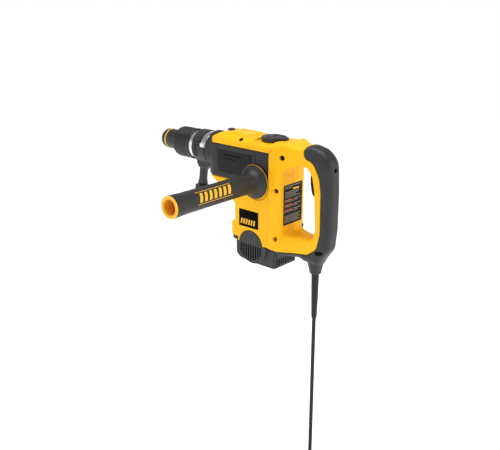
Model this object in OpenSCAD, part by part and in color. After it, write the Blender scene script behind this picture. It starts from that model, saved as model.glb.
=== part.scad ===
// Demolition hammer with an upright motor, a D-shaped rear grip and a side handle.
// X runs along the working axis with the nose at -X, Z is up, and the origin is the
// centre of the rear grip. Most parts are drawn in the axis frame, whose X axis is the
// working axis and whose x = 0 plane holds the side handle; from_axis() moves them.

/* [Body] */
// Half of the width of the housing
half_w = 39; // [37:0.5:42]
// Front face of the gear case
case_front = -140; // [-146:1:-136]
// Plane where the rear handle meets the housing
seam_x = 33; // [31:1:36]
// Height of the top of the gear case's side faces
case_top = 22; // [20:0.5:24]
// Height of the underside of the gear case
case_bottom = -45; // [-47:0.5:-44]
// Height of the underside of the yellow housings
housing_bottom = -168; // [-172:1:-166]
// Height of the underside of the motor cap
cap_bottom = -210; // [-214:1:-206]

/* [Nose] */
// Radius of the bore for the tool shank
tool_r = 9; // [9:0.05:9.1]
// Front face of the nose cap
nose_x = -290; // [-292:1:-288]
// Radius of the nose cap
cap_r = 21; // [20:0.5:22]
// Radius of the locking sleeve over its ribs
sleeve_r = 31.5; // [31:0.5:33]
// Number of ribs on the locking sleeve
sleeve_ribs = 8; // [6:1:9]
// Radius of the neck behind the sleeve
neck_r = 30; // [29.5:0.1:30]

/* [Rear grip] */
// Front of the grip, seen from the side
grip_front = 122; // [120:1:124]
// Back of the grip
grip_back = 161; // [158:1:164]
// Half of the grip's width
grip_half = 19; // [18:0.5:20]
// Travel of the trigger
trigger_travel = 6; // [4:0.5:6]

/* [Side handle] */
// Distance from the mid-plane to the open end of the side handle
side_end = 263; // [260:1:275]
// Radius of the side grip near its open end
side_r = 20; // [20:0.5:22]
// Radius of the side handle's flange
flange_r = 33; // [31:0.5:34]
// Radius of the side handle's threaded stud
stud_r = 6.95; // [6.9:0.01:6.97]
// Radius of the threaded holes that take it
thread_r = 7; // [7:0.05:7.05]

/* [Front clamp] */
// Angle of the clamp's arm from straight down, towards the left
clamp_angle = 8; // [4:1:30]
// Distance of the arm's foot from the working axis
arm_foot = 82; // [78:1:88]

/* [Mains cord] */
// Diameter of the cord
cord_d = 7.6; // [7.2:0.1:8]
// Radius of the coil's innermost turn
coil_r = 35; // [34:0.5:36]

/* [Hidden] */

dark = [0.22, 0.22, 0.23];
black = [0.08, 0.08, 0.09];
yellow = [0.98, 0.72, 0.07];
gold = [0.85, 0.62, 0.15];
steel = [0.75, 0.76, 0.78];
copper = [0.75, 0.4, 0.2];

// The grip's centre in the axis frame
grip_x = (grip_front + grip_back) / 2;
grip_z = -62;
gap = 0.3;
wall = 3.5;
side_z = -37.5;
neck_front = -184;
spindle_r = 24;
bore_r = 17;
guide_r = 21;
core_r = 30.4;
sleeve_back = -194;
clamp_front = -181.5;
arm_x = -172.3;
bolt_r = 3;
wheel_r = 15.5;
motor_x = -6;
gear_module = 1.6;
pinion_teeth = 9;
gear_teeth = 36;
crank_x = motor_x - gear_module * (pinion_teeth + gear_teeth) / 2;
crank_throw = 12;
rod_length = 62;
wrist_x = crank_x + crank_throw - rod_length;
knob_x = 10;
knob_r = 22;
knob_tip = 37;
cover_top = 43.5;
knob_seat = 37;
boss_x = -13;
boss_z = -171;
boss_r = 30;
low_boss_r = 36.5;
window_x = 61;
window_top = 3;
window_bottom = -134;
trigger_low = -53;
trigger_high = -8;
boot_x = 120;
boot_top = -208;
boot_tip = -302;
floor_z = -665;
turn_pitch = 8.4;
layer_pitch = 7.7;
screw_r = 4.3;
// Side screws of the rear handle as [x, z]
handle_screw_at = [[62, 18], [51, -47], [51, -143]];
cap_screw_at = [[-41, -28], [-41, 28], [28, -28], [28, 28]];

// ---- Geometry helpers ----

// Moves a shape from the axis frame into the part's own frame
module from_axis() {
    translate([-grip_x, 0, -grip_z]) children();
}

function unit(v) = v / norm(v);

// Points of one rounded corner at b, between its neighbours a and c
function corner(a, b, c, r, n) =
    r <= 0 ? [b] :
    let (u = unit(a - b), v = unit(c - b), half = acos(u * v) / 2,
         centre = b + unit(u + v) * r / sin(half),
         p = b + u * r / tan(half) - centre,
         q = b + v * r / tan(half) - centre,
         start = atan2(p.y, p.x),
         sweep = (atan2(q.y, q.x) - start + 540) % 360 - 180)
    [for (i = [0 : n]) centre + r * [cos(start + sweep * i / n), sin(start + sweep * i / n)]];

// An outline whose points are [x, y, corner radius]
function rounded(pts, n = 5) =
    let (k = len(pts), at = [for (p = pts) [p[0], p[1]]])
    [for (i = [0 : k - 1])
        each corner(at[(i + k - 1) % k], at[i], at[(i + 1) % k], pts[i][2], n)];

// A side view, in x and z, between two planes of y
module side_prism(pts, y0, y1) {
    translate([0, y1, 0]) rotate([90, 0, 0]) linear_extrude(y1 - y0) polygon(pts);
}

// A front view, in y and z, between two planes of x
module front_prism(pts, x0, x1) {
    translate([x0, 0, 0]) rotate([90, 0, 90]) linear_extrude(x1 - x0) polygon(pts);
}

// A plan view, in x and y, between two heights
module plan_prism(pts, z0, z1) {
    translate([0, 0, z0]) linear_extrude(z1 - z0) polygon(pts);
}

// Turned bodies from [radius, position] profiles about the X and Y directions
module turned_x(pts) {
    rotate([0, 90, 0]) rotate_extrude() polygon(pts);
}

module turned_y(pts) {
    rotate([-90, 0, 0]) rotate_extrude() polygon(pts);
}

module rod_x(r, x0, x1) {
    translate([x0, 0, 0]) rotate([0, 90, 0]) cylinder(r = r, h = x1 - x0);
}

module rod_y(r, y0, y1) {
    translate([0, y0, 0]) rotate([-90, 0, 0]) cylinder(r = r, h = y1 - y0);
}

module rod_z(r, z0, z1) {
    translate([0, 0, z0]) cylinder(r = r, h = z1 - z0);
}

// A box between two corners
module block(lo, hi) {
    translate(lo) cube(hi - lo);
}

// Mirrors a shape to both sides of the mid-plane
module both_sides() {
    children();
    mirror([0, 1, 0]) children();
}

// Rings of points about a path that never runs along the direction across, for a round tube
function tangent(path, i) = unit(path[min(i + 1, len(path) - 1)] - path[max(i - 1, 0)]);

function ring(path, i, r, sides, across) =
    let (t = tangent(path, i),
         side = unit(cross(t, across)),
         up = cross(side, t))
    [for (k = [0 : sides - 1])
        path[i] + r * (cos(360 * k / sides) * side + sin(360 * k / sides) * up)];

module tube(path, r, sides, across) {
    rings = len(path);
    points = [for (i = [0 : rings - 1]) each ring(path, i, r, sides, across)];
    skin = [for (i = [0 : rings - 2], k = [0 : sides - 1])
        let (a = i * sides + k, b = i * sides + (k + 1) % sides)
        each [[a, a + sides, b + sides], [a, b + sides, b]]];
    first = [for (k = [0 : sides - 1]) k];
    last = [for (k = [0 : sides - 1]) rings * sides - 1 - k];
    polyhedron(points, concat([first], skin, [last]), convexity = 6);
}

// A spur gear with straight-sided teeth and running play
module gear(teeth, z0, z1, turn, hole_r) {
    pitch_r = gear_module * teeth / 2;
    root_r = pitch_r - 0.95 * gear_module;
    tip_r = pitch_r + 0.7 * gear_module;
    step = 360 / teeth;
    outline = [for (k = [0 : teeth - 1], p = [[root_r, -0.30], [tip_r, -0.11], [tip_r, 0.11], [root_r, 0.30]])
        p[0] * [cos(turn + step * (k + p[1])), sin(turn + step * (k + p[1]))]];
    difference() {
        plan_prism(outline, z0, z1);
        if (hole_r > 0) rod_z(hole_r, z0 - 1, z1 + 1);
    }
}

// ---- Outlines ----

// Cross-section of the top cover, from its lower edge inset all round by t
function cover_section(t) = rounded([
    [-(half_w - t), case_top - 20, 0],
    [-(half_w - t), 36, 8 - t],
    [-(22 - t / 2), cover_top - t, 10],
    [22 - t / 2, cover_top - t, 10],
    [half_w - t, 36, 8 - t],
    [half_w - t, case_top - 20, 0]]);

// Side view of the top cover: low at the front, with a raised field before the selector
cover_side = rounded([
    [-116, case_top + gap, 0], [-116, 36, 6], [-104, 43, 8], [-60, 60, 0],
    [56.7, 60, 0], [56.7, cover_top + 1, 0], [seam_x - gap, case_top + gap, 0]]);

// Side view of the motor housing
motor_side = rounded([
    [-124, case_bottom - gap, 0], [-58, -92, 6], [-58, -128, 2], [-65, -132, 3],
    [-65, -157, 2], [-63, -159.5, 0], [18, housing_bottom, 0], [seam_x - gap, housing_bottom, 0],
    [seam_x - gap, case_bottom - gap, 0]]);

// Outer side view of the rear handle, with the grip's rubber
handle_outer = rounded([
    [seam_x, case_top, 0], [57, 44.5, 0], [67, 45.5, 12], [91, 41, 24], [112, 44, 24], [137, 38.5, 30],
    [grip_back - 3, 20, 34], [grip_back, -40, 60], [grip_back, -112, 60],
    [157, -150, 24], [142, -171, 8], [135, -186, 3], [100, -186, 5], [94, -180, 20],
    [50, -177, 0], [50, housing_bottom, 0], [seam_x, housing_bottom, 0]]);

// The finger window, seen from the side
handle_window = rounded([
    [window_x, window_top - 12, 12], [84, window_top, 12], [106, window_top, 14],
    [117, -14, 14], [grip_front, -40, 30], [grip_front + 4, -112, 30],
    [grip_front, window_bottom, 12], [window_x, window_bottom - 1, 6]]);

// The yellow part of the rear handle: in front of and above this line
handle_yellow = rounded([
    [seam_x - 5, 60, 0], [105, 60, 0], [104.5, 46, 6], [101, 36, 8], [102.5, 21, 10],
    [121, 14.5, 24], [136, -12, 34], [140, -40, 30], [141, -118, 30], [133.5, -150, 22],
    [112, -166, 18], [seam_x - 5, -169, 0]]);

// Plan views of the rear handle's half-width above, beside and below the window
handle_plan_top = rounded([
    [seam_x, -half_w, 0], [54, -half_w, 20], [84, -29, 40], [112, -grip_half, 30],
    [170, -grip_half, 0], [170, grip_half, 0], [112, grip_half, 30], [84, 29, 40],
    [54, half_w, 20], [seam_x, half_w, 0]]);

handle_plan_mid = rounded([
    [seam_x, -half_w, 0], [window_x, -half_w, 11], [window_x, -grip_half - 4, 0],
    [90, -grip_half, 0], [170, -grip_half, 0], [170, grip_half, 0], [90, grip_half, 0],
    [window_x, grip_half + 4, 0], [window_x, half_w, 11], [seam_x, half_w, 0]]);

handle_plan_low = rounded([
    [seam_x, -half_w, 0], [window_x - 4, -half_w, 20], [88, -24, 30], [110, -grip_half, 30],
    [170, -grip_half, 0], [170, grip_half, 0], [110, grip_half, 30], [88, 24, 30],
    [window_x - 4, half_w, 20], [seam_x, half_w, 0]]);

// ---- Nose ----

module nose_cap() {
    color(black) from_axis() turned_x(rounded([
        [12, nose_x, 0], [18, nose_x, 1], [cap_r, nose_x + 5, 3], [cap_r, -277.5, 0],
        [cap_r - 0.8, -277.5, 0], [cap_r - 0.8, -273.5, 0], [cap_r, -273.5, 0],
        [cap_r, -246, 0], [16.3, -246, 0], [16.3, -285, 0], [12, -285, 0]]));
}

module cap_ring() {
    color(gold) from_axis() turned_x([
        [cap_r - 0.8, -277.5], [cap_r + 0.5, -277], [cap_r + 0.5, -274], [cap_r - 0.8, -273.5]]);
}

// Ribbed rubber of the locking sleeve
module locking_sleeve() {
    pitch = 4.2;
    groove = 0.7;
    ribs = [for (i = [0 : sleeve_ribs - 1], p = [[0, -1.4], [0, 1.1], [-groove, 1.8], [-groove, 2.4]])
        [sleeve_r + p[0], -235 + i * pitch + p[1]]];
    color(black) from_axis() turned_x(concat(
        [[core_r - 0.1, -239]], ribs,
        [[sleeve_r + 0.8, -199], [sleeve_r + 0.8, sleeve_back], [core_r, sleeve_back], [core_r, -239]]));
}

// Metal body of the locking sleeve
module sleeve_core() {
    color(dark) from_axis() turned_x([
        [16.6, -245.7], [24, -245.7], [27, -244], [core_r - 0.8, -240], [core_r - 0.1, -239.1],
        [core_r, -239], [core_r, sleeve_back - 20], [26, sleeve_back - 20], [26, -238], [16.6, -238]]);
}

module sleeve_spring() {
    turns = 4;
    steps = 16;
    wire_r = 1;
    mean_r = 23.6;
    front = -226.2;
    back = -215.8;
    path = [for (i = [0 : turns * steps])
        [front + (back - front) * i / (turns * steps), mean_r * cos(360 * i / steps), mean_r * sin(360 * i / steps)]];
    color(steel) from_axis() tube(path, wire_r, 6, [1, 0, 0]);
}

module locking_rollers() {
    color(steel) from_axis() both_sides() translate([-250, 12.2, 0]) rod_x(3, -6, 6);
}

module tool_holder() {
    color(steel) from_axis() difference() {
        turned_x([
            [tool_r, -284.8], [16.2, -284.8], [16.2, -227], [21.5, -227], [21.5, -206],
            [spindle_r, -206], [spindle_r, -130], [guide_r, -130], [guide_r, -178],
            [11, -178], [11, -214], [tool_r, -214]]);
        both_sides() translate([-250, 12.2, 0]) rod_x(3.1, -6.5, 6.5);
    }
}

module front_collar() {
    color(steel) from_axis() turned_x([
        [spindle_r + gap, -203], [28, -203], [29.9, -201], [29.9, neck_front], [spindle_r + gap, neck_front]]);
}

// ---- Front clamp ----

// The clamp is drawn hanging straight down and turned to its angle
module clamp_pose() {
    from_axis() rotate([-clamp_angle, 0, 0]) children();
}

module clamp_bracket() {
    outer = neck_r + 4.2;
    color(dark) clamp_pose() difference() {
        union() {
            rod_x(outer, clamp_front, clamp_front + 21);
            block([clamp_front, -15, -outer - 5], [-144, 15, -20]);
            side_prism(rounded([
                [-181, -30, 0], [-179, -44, 8], [-179, -70, 12], [-182, -arm_foot, 0],
                [-162, -arm_foot, 0], [-165.5, -70, 12], [-165.5, -48, 8], [-144, -37, 0], [-144, -28, 0]]), -6.8, 6.8);
            intersection() {
                rod_x(outer + 1.2, -160.5, -143.8);
                block([-161, -50, -50], [-143, 50, 0]);
            }
        }
        rod_x(neck_r + gap, clamp_front - 1, -143);
        // Room for the steel band where it enters the bracket
        rod_x(neck_r + 2.6, -159, -143);
        // Adjustment notches on both flanks
        for (side = [0, 1], i = [-2 : 4])
            rotate([(side == 0 ? 90 : -90) + i * 8, 0, 0])
                block([-174, -0.9, -outer - 1], [-163, 0.9, -neck_r - 2]);
        // Hollow of the bracket's bolt
        translate([arm_x, 0, 0]) rod_z(bolt_r + gap, -arm_foot - 1, -neck_r - 3);
    }
}

module clamp_band() {
    color(steel) clamp_pose() difference() {
        rod_x(neck_r + 2.3, -158, -144.5);
        rod_x(neck_r + gap, -159, -143);
        rotate([150, 0, 0]) block([-159, -1.2, -40], [-143, 1.2, -20]);
    }
}

module clamp_bolt() {
    color(steel) clamp_pose() translate([arm_x, 0, 0]) rod_z(bolt_r, -arm_foot - 12, -neck_r - 6);
}

module clamp_wheel() {
    flutes = 12;
    color(dark) clamp_pose() translate([arm_x, 0, 0]) difference() {
        rod_z(wheel_r, -arm_foot - 12, -arm_foot - gap);
        rod_z(bolt_r + 0.05, -arm_foot - 13, -arm_foot + 1);
        for (i = [0 : flutes - 1])
            rotate([0, 0, 360 * i / flutes]) translate([wheel_r + 1, 0, 0]) rod_z(2.4, -arm_foot - 13, -arm_foot + 1);
    }
}

// ---- Gear case and covers ----

// Plan of the gear case's box: its front corners lean in to the round neck
case_plan = rounded([
    [case_front + 8, -30, 4], [-116, -half_w + 0.5, 6], [seam_x - gap, -half_w + 0.5, 0],
    [seam_x - gap, half_w - 0.5, 0], [-116, half_w - 0.5, 6], [case_front + 8, 30, 4]]);

module gear_case() {
    color(dark) from_axis() difference() {
        union() {
            plan_prism(case_plan, case_bottom, case_top);
            rod_x(37.5, case_front, -115);
            rod_x(33, -116, -70);
            rod_x(neck_r, neck_front, case_front + 1);
            // Boss for the selector's shaft
            translate([knob_x, 0, 0]) rod_z(10, case_top - 1, case_top + 8);
        }
        // Barrel bore and crank chamber
        rod_x(spindle_r + 0.05, neck_front - 1, -128);
        rod_x(guide_r + gap, -129, -75);
        block([-78, -33, -38], [-10.5, 33, 18]);
        block([-11, -24, -38], [24, 24, 18]);
        // Motor shaft opening, selector shaft opening and side-handle threads
        translate([motor_x, 0, 0]) rod_z(9, case_bottom - 1, -37);
        translate([knob_x, 0, 0]) rod_z(6.3, 12, case_top + 9);
        translate([0, 0, side_z]) rod_y(thread_r, -half_w - 1, -28);
        translate([0, 0, side_z]) rod_y(thread_r, 28, half_w + 1);
        // Seat of the crank bearing
        translate([crank_x, 0, 0]) rod_z(11, -42, -37);
        both_sides() case_field();
    }
}

// Shallow field with plain ribs on the gear case's side
module case_field() {
    depth = 1.2;
    difference() {
        side_prism(rounded([
            [-103, 12, 2], [-100, -36, 2], [20, -36, 2], [20, 14, 2]]), -half_w, -half_w + 0.5 + depth);
        for (i = [0 : 1])
            block([-88, -half_w - 1, -4 - 9 * i], [-34 + 8 * i, -half_w + 3, -1 - 9 * i]);
    }
}

module top_cover() {
    slots = 6;
    color(yellow) from_axis() difference() {
        union() {
            intersection() {
                front_prism(cover_section(0), -118, 58);
                side_prism(cover_side, -50, 50);
            }
            // Raised field
            plan_prism(rounded([[-86, -21, 5], [-33, -21, 5], [-33, 21, 5], [-86, 21, 5]]), 42, 45.8);
        }
        difference() {
            intersection() {
                front_prism(cover_section(wall), -118 + wall, 58 - wall);
                side_prism(rounded([
                    [-112, case_top - 5, 0], [-112, 32, 6], [-101, 37, 8], [-92, 40, 0],
                    [50, 40, 0], [seam_x - wall, case_top - 5, 0]]), -50, 50);
            }
            translate([knob_x, 0, 0]) rod_z(knob_r + 3, case_top + 8 + gap, 44);
            block([knob_x - knob_r - 4, -half_w, knob_seat - 3], [seam_x + 5, 3, 50]);
        }
        rod_x(33 + gap, -120, -60);
        rod_x(37.5 + gap, -120, -114.5);
        translate([knob_x, 0, 0]) rod_z(6.3, 20, 60);
        translate([knob_x, 0, cover_top - 1.5]) rod_z(knob_tip + 1, 0, 20);
        translate([knob_x, 0, knob_seat]) rod_z(knob_r + 1, 0, 20);
        plan_prism(rounded([[knob_x - knob_r - 1, -half_w - 1, 0], [seam_x + 2, -half_w - 1, 0],
                            [seam_x + 2, 0, 0], [knob_x - knob_r - 1, 0, 0]]), knob_seat, 60);
        for (i = [0 : slots - 1])
            block([-64 + 7 * i, -29, 41.2], [-61 + 7 * i, -22, 50]);
        both_sides() cover_screw_place() rod_z(5, -2.2, 6);
        translate([-98, 0, 0]) rod_z(6.2, 36, 60);
    }
}

// Screw wells lean outwards on the cover's shoulders
module cover_screw_place() {
    translate([-42, -34, 38.6]) rotate([28, 0, 0]) children();
}

module cover_screws() {
    color(black) from_axis() both_sides() cover_screw_place() rod_z(4.2, -2.2, -0.6);
}

module top_plug() {
    color(dark) from_axis() translate([-98, 0, 0]) {
        rod_z(6, 39, cover_top + 1);
        translate([0, 0, cover_top]) bevelled_cap();
    }
}

// Low cap with a bevelled rim
module bevelled_cap() {
    rotate_extrude() polygon([[0, 0], [8, 0], [8, 2], [6, 3.2], [0, 3.2]]);
}

module mode_selector() {
    base = cover_top - 1.5 + gap;
    color(dark) from_axis() translate([knob_x, 0, 0]) {
        rod_z(knob_r, knob_seat + gap, base + 4);
        plan_prism(rounded([[-4, -16, 4], [22, -15, 12], [knob_tip, -3, 2.5],
                            [knob_tip, 3, 2.5], [22, 15, 12], [-4, 16, 4]]), base, base + 6);
        rod_z(6, 14, base + 1);
    }
}

// ---- Motor housing ----

module motor_housing() {
    color(yellow) from_axis() difference() {
        intersection() {
            side_prism(motor_side, -50, 50);
            plan_prism(rounded([
                [-126, -half_w + 0.5, 3], [-60, -half_w + 0.5, 0], [-58, -half_w, 0], [40, -half_w, 0],
                [40, half_w, 0], [-58, half_w, 0], [-60, half_w - 0.5, 0], [-126, half_w - 0.5, 3]]), -180, 0);
        }
        // Motor tunnel, bearing seat and shaft opening
        translate([motor_x, 0, 0]) {
            rod_z(34, housing_bottom - 1, -64);
            rod_z(13, -65, -50);
            rod_z(9, -51, case_bottom + 1);
        }
        // Hollow nose under the gear case
        side_prism([[-106, case_bottom - 5], [-52, -84], [-45, -84], [-45, case_bottom - 5]], -33, 33);
        // Round recess about each side-handle thread and the arch over the motor cap
        translate([0, 0, side_z]) both_sides() rod_y(flange_r + 4, -half_w - 1, -half_w + 2.5);
        translate([boss_x, 0, boss_z]) rod_y(boss_r + gap, -60, 60);
        // Sockets of the nameplates
        both_sides() block([-43, -half_w - 1, -135], [7, -half_w + 0.5, -100]);
        for (p = cap_screw_at)
            translate([p[0], p[1], 0]) rod_z(2.2, housing_bottom - 1, housing_bottom + 8);
    }
}

module nameplates() {
    color(black) from_axis() both_sides()
        side_prism(rounded([[-42.8, -134.8, 1], [6.8, -134.8, 1], [6.8, -100.2, 1], [-42.8, -100.2, 1]]),
                   -half_w - 0.3, -half_w + 0.5);
}

// Side view of the motor cap
motor_cap_side = rounded([
    [-64.5, -159.8, 0], [-64, -166.5, 2], [-60, -168.5, 2], [-59, -196, 8],
    [-46, -206, 12], [-18, cap_bottom, 10], [47, cap_bottom, 3], [48, housing_bottom - gap, 0],
    [18, housing_bottom - gap, 0]]);

module motor_cap() {
    vents = 9;
    pitch = 6.2;
    vent_r = 31;
    color(dark) from_axis() difference() {
        union() {
            intersection() {
                side_prism(motor_cap_side, -40, 40);
                union() {
                    plan_prism(rounded([[-60.5, -34.5, 10], [48, -34.5, 7], [48, 34.5, 7], [-60.5, 34.5, 10]]), -230, -150);
                    plan_prism(rounded([[-64.5, -37.5, 6], [-40, -37.5, 0], [-40, 37.5, 0], [-64.5, 37.5, 6]]), -168.5, -150);
                }
            }
            translate([boss_x, 0, boss_z]) rod_y(boss_r, -half_w - 1.5, half_w + 1.5);
            intersection() {
                translate([boss_x + 5, 0, boss_z - 1]) rod_y(low_boss_r, -half_w - 1.5, half_w + 1.5);
                block([-60, -50, -220], [40, 50, housing_bottom - gap]);
            }
        }
        translate([motor_x, 0, 0]) rod_z(33, -198, -160);
        translate([motor_x, 0, 0]) rod_z(34.5, housing_bottom - gap, -140);
        translate([motor_x, 0, 0]) rod_z(11, -207, -197);
        // Air slots in both side bosses
        for (i = [0 : vents - 1])
            let (dx = (i - (vents - 1) / 2) * pitch, reach = sqrt(vent_r * vent_r - dx * dx))
            translate([boss_x + 1 + dx, 0, boss_z])
                block([-1.5, -60, -reach], [1.5, 60, 0]);
        // Air slots in the back
        for (i = [-4 : 4])
            block([40, i * 6 - 1.3, -204], [60, i * 6 + 1.3, -190]);
        for (p = cap_screw_at)
            translate([p[0], p[1], 0]) rod_z(2.3, -220, -160);
        for (p = cap_screw_at)
            translate([p[0], p[1], 0]) rod_z(4, -220, -190);
    }
}

module cap_screws() {
    color(steel) from_axis() for (p = cap_screw_at) translate([p[0], p[1], 0]) {
        rod_z(2.1, -191, housing_bottom + 7);
        rod_z(3.7, -194, -190);
    }
}

// ---- Rear handle ----

// The whole rear handle and its rubber, solid
module handle_solid() {
    difference() {
        intersection() {
            side_prism(handle_outer, -60, 60);
            union() {
                plan_prism(handle_plan_top, -3, 60);
                plan_prism(handle_plan_mid, -122, -2);
                plan_prism(handle_plan_low, -200, -121);
            }
        }
        side_prism(handle_window, -60, 60);
    }
}

// Room inside the handle for the trigger, its switch and the leads
module handle_hollow() {
    block([106, -8.4, trigger_low - 1], [136, 8.4, trigger_high + 1]);
    block([126, -9.3, -78], [151, 9.3, 0]);
    block([seam_x + 5, -28, -120], [window_x - wall, 28, -2]);
    block([seam_x + 5, -28, -3], [58, 28, 18]);
    block([60, -8, 12], [112, 8, 34]);
    block([128, -8, -160], [148, 8, -77]);
    block([56, -8, -160], [129, 8, -140]);
}

module handle_half(side) {
    color(yellow) from_axis() difference() {
        intersection() {
            handle_solid();
            side_prism(handle_yellow, -60, 60);
            if (side < 0) block([0, -60, -250], [250, 0, 100]);
            else block([0, 0, -250], [250, 60, 100]);
        }
        handle_hollow();
        block([seam_x - 1, -33, -162], [seam_x + 6, 33, 16]);
        for (p = handle_screw_at) translate([p[0], 0, p[1]]) {
            rod_y(2.2, -half_w - 1, 30);
            rod_y(4.6, -half_w - 1, -half_w + 8);
        }
        translate([knob_x, 0, cover_top - 1.5]) rod_z(knob_tip + 1, 0, 20);
    }
}

module handle_left() {
    handle_half(-1);
}

module handle_right() {
    handle_half(1);
}

module handle_screws() {
    color(black) from_axis() for (p = handle_screw_at) translate([p[0], 0, p[1]]) {
        rod_y(2.1, -half_w + 5, 29);
        rod_y(screw_r, -half_w + 2.5, -half_w + 6);
    }
}

module grip_overmould() {
    color(dark) from_axis() difference() {
        union() {
            difference() {
                handle_solid();
                side_prism(handle_yellow, -60, 60);
            }
            // Round collar for the cord's boot
            translate([boot_x, 0, 0]) rotate_extrude()
                polygon([[0, -176], [16, -176], [15, -187], [11.5, -206], [0, -206]]);
        }
        handle_hollow();
        translate([boot_x, 0, 0]) rod_z(7.9, -220, -184);
        translate([boot_x, 0, 0]) rod_z(5, -190, -150);
        // Well of the rear screw
        translate([0, 0, 4]) rod_x(4.2, grip_back - 12, grip_back + 5);
        // Hanging slot under the grip
        side_prism(rounded([[131, -161, 3.9], [147, -161, 3.9], [147, -153, 3.9], [131, -153, 3.9]]), -25, -grip_half + 3);
    }
}

module rating_plate() {
    color(black) from_axis() block([window_x, -28, -117], [window_x + 0.5, 28, -37.5]);
}

module trigger() {
    color(black) from_axis() side_prism(rounded([
        [107, trigger_high - 4, 5], [108, -38, 8], [111, trigger_low + 6, 4], [119, trigger_low, 0],
        [126, trigger_low, 0], [126, trigger_high, 0], [114, trigger_high, 3]]), -8, 8);
}

module switch_body() {
    color(black) from_axis() block([132.5, -9, -76], [150, 9, -2]);
}

// ---- Side handle ----

module side_pose() {
    from_axis() translate([0, 0, side_z]) children();
}

module side_grip() {
    rim = half_w + 4;
    color(dark) side_pose() difference() {
        turned_y(rounded([
            [8, -rim - 0.3, 0], [flange_r, -rim - 0.3, 0], [flange_r, -rim - 3, 1.2], [26, -rim - 8, 14],
            [19.6, -rim - 26, 20], [19.3, -rim - 60, 60], [side_r - 0.3, -side_end + 30, 60],
            [side_r + 1, -side_end + 6, 4], [side_r + 1, -side_end + 3, 0], [8, -side_end + 3, 0]]));
        rod_y(17.2, -side_end - 1, -rim - 12);
    }
}

module side_core() {
    rim = half_w + 4;
    color(yellow) side_pose() {
        difference() {
            turned_y(rounded([
                [0, -rim + 1, 0], [flange_r + 0.5, -rim + 1, 0], [flange_r + 0.5, -rim - 0.3, 0],
                [8, -rim - 0.3, 0], [8, -rim - 12, 0], [17.2, -rim - 12, 0], [17.2, -side_end + 3, 0],
                [side_r + 1, -side_end + 3, 0], [side_r + 1, -side_end + 1.5, 1], [side_r, -side_end, 1],
                [15, -side_end, 0], [14, -side_end + 4, 0], [14, -rim - 60, 0], [0, -rim - 60, 0]]));
            rod_y(stud_r, -rim - 40, -rim + 2);
        }
    }
}

module side_stud() {
    rim = half_w + 4;
    color(steel) side_pose() rod_y(stud_r, -rim - 40, -29);
}

module side_washer() {
    rim = half_w + 4;
    color(steel) side_pose() difference() {
        rod_y(16, -rim + 1, -half_w + 0.5);
        rod_y(stud_r + 0.5, -rim, -half_w + 1);
    }
}

// ---- Hammer mechanism ----

module guide_cylinder() {
    color(steel) from_axis() turned_x([
        [bore_r, -177.8], [guide_r, -177.8], [guide_r, -80], [bore_r, -80]]);
}

module beat_piece() {
    color(steel) from_axis() turned_x(rounded([
        [0, -206, 0], [8, -206, 1], [10.95, -202, 1], [10.95, -188, 1], [8, -184, 1], [0, -184, 0]]));
}

module striker() {
    color(steel) from_axis() turned_x([
        [0, -172], [8, -172], [8, -166], [bore_r - 0.05, -166], [bore_r - 0.05, -134], [0, -134]]);
}

module piston() {
    crown = wrist_x - 16;
    color(steel) from_axis() difference() {
        rod_x(bore_r - 0.05, crown, wrist_x + 10);
        block([wrist_x - 9.5, -9.5, -7], [wrist_x + 11, 9.5, 7]);
        translate([wrist_x, 0, 0]) rod_z(4, -20, 20);
    }
}

module wrist_pin() {
    color(steel) from_axis() translate([wrist_x, 0, 0]) rod_z(4, -14, 14);
}

module connecting_rod() {
    color(steel) from_axis() difference() {
        union() {
            translate([wrist_x, 0, 0]) rod_z(7.5, -5, 5);
            translate([wrist_x + rod_length, 0, 0]) rod_z(10, -5, 5);
            block([wrist_x + 5, -4, -3.5], [wrist_x + rod_length - 7, 4, 3.5]);
        }
        translate([wrist_x, 0, 0]) rod_z(4.05, -6, 6);
        translate([wrist_x + rod_length, 0, 0]) rod_z(6.05, -6, 6);
    }
}

module crankshaft() {
    color(steel) from_axis() translate([crank_x, 0, 0]) {
        rod_z(5, -41.5, -14);
        rod_z(20, -15, -9);
        translate([crank_throw, 0, 0]) rod_z(6, -10, -5.4);
    }
}

module crank_gear() {
    color(steel) from_axis() translate([crank_x, 0, 0]) gear(gear_teeth, -30, -20, 0, 5);
}

module crank_bearing() {
    color(steel) from_axis() translate([crank_x, 0, 0]) difference() {
        rod_z(11, -42, -37.5);
        rod_z(5.05, -43, -36);
    }
}

// ---- Motor ----

module pinion() {
    color(steel) from_axis() translate([motor_x, 0, 0])
        gear(pinion_teeth, -32, -18, 180 + 180 / pinion_teeth, 3.5);
}

module armature() {
    color(copper) from_axis() translate([motor_x, 0, 0]) {
        rod_z(3.5, -50, -17);
        rod_z(5, -203, -49);
        rod_z(21.5, -142, -92);
    }
}

module commutator() {
    color(copper) from_axis() translate([motor_x, 0, 0]) difference() {
        rod_z(13, -176, -154);
        rod_z(5, -180, -150);
    }
}

module motor_fan() {
    blades = 9;
    color(black) from_axis() translate([motor_x, 0, 0]) difference() {
        union() {
            rod_z(30, -82, -79.5);
            rod_z(9, -84, -70);
            for (i = [0 : blades - 1])
                rotate([0, 0, 360 * i / blades]) block([7, -1, -80], [29, 1, -70]);
        }
        rod_z(5, -90, -60);
    }
}

module stator() {
    color(steel) from_axis() translate([motor_x, 0, 0]) difference() {
        rod_z(33.9, -144, -90);
        rod_z(22.3, -150, -80);
    }
}

module brush_holders() {
    color(black) from_axis() translate([motor_x, 0, 0]) both_sides() difference() {
        block([-5.5, -31, -171], [5.5, -15, -159]);
        block([-4, -32, -169], [4, -13, -161]);
    }
}

module carbon_brushes() {
    color(dark) from_axis() translate([motor_x, 0, 0]) both_sides()
        block([-3.9, -29, -168.9], [3.9, -13.1, -161.1]);
}

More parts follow.
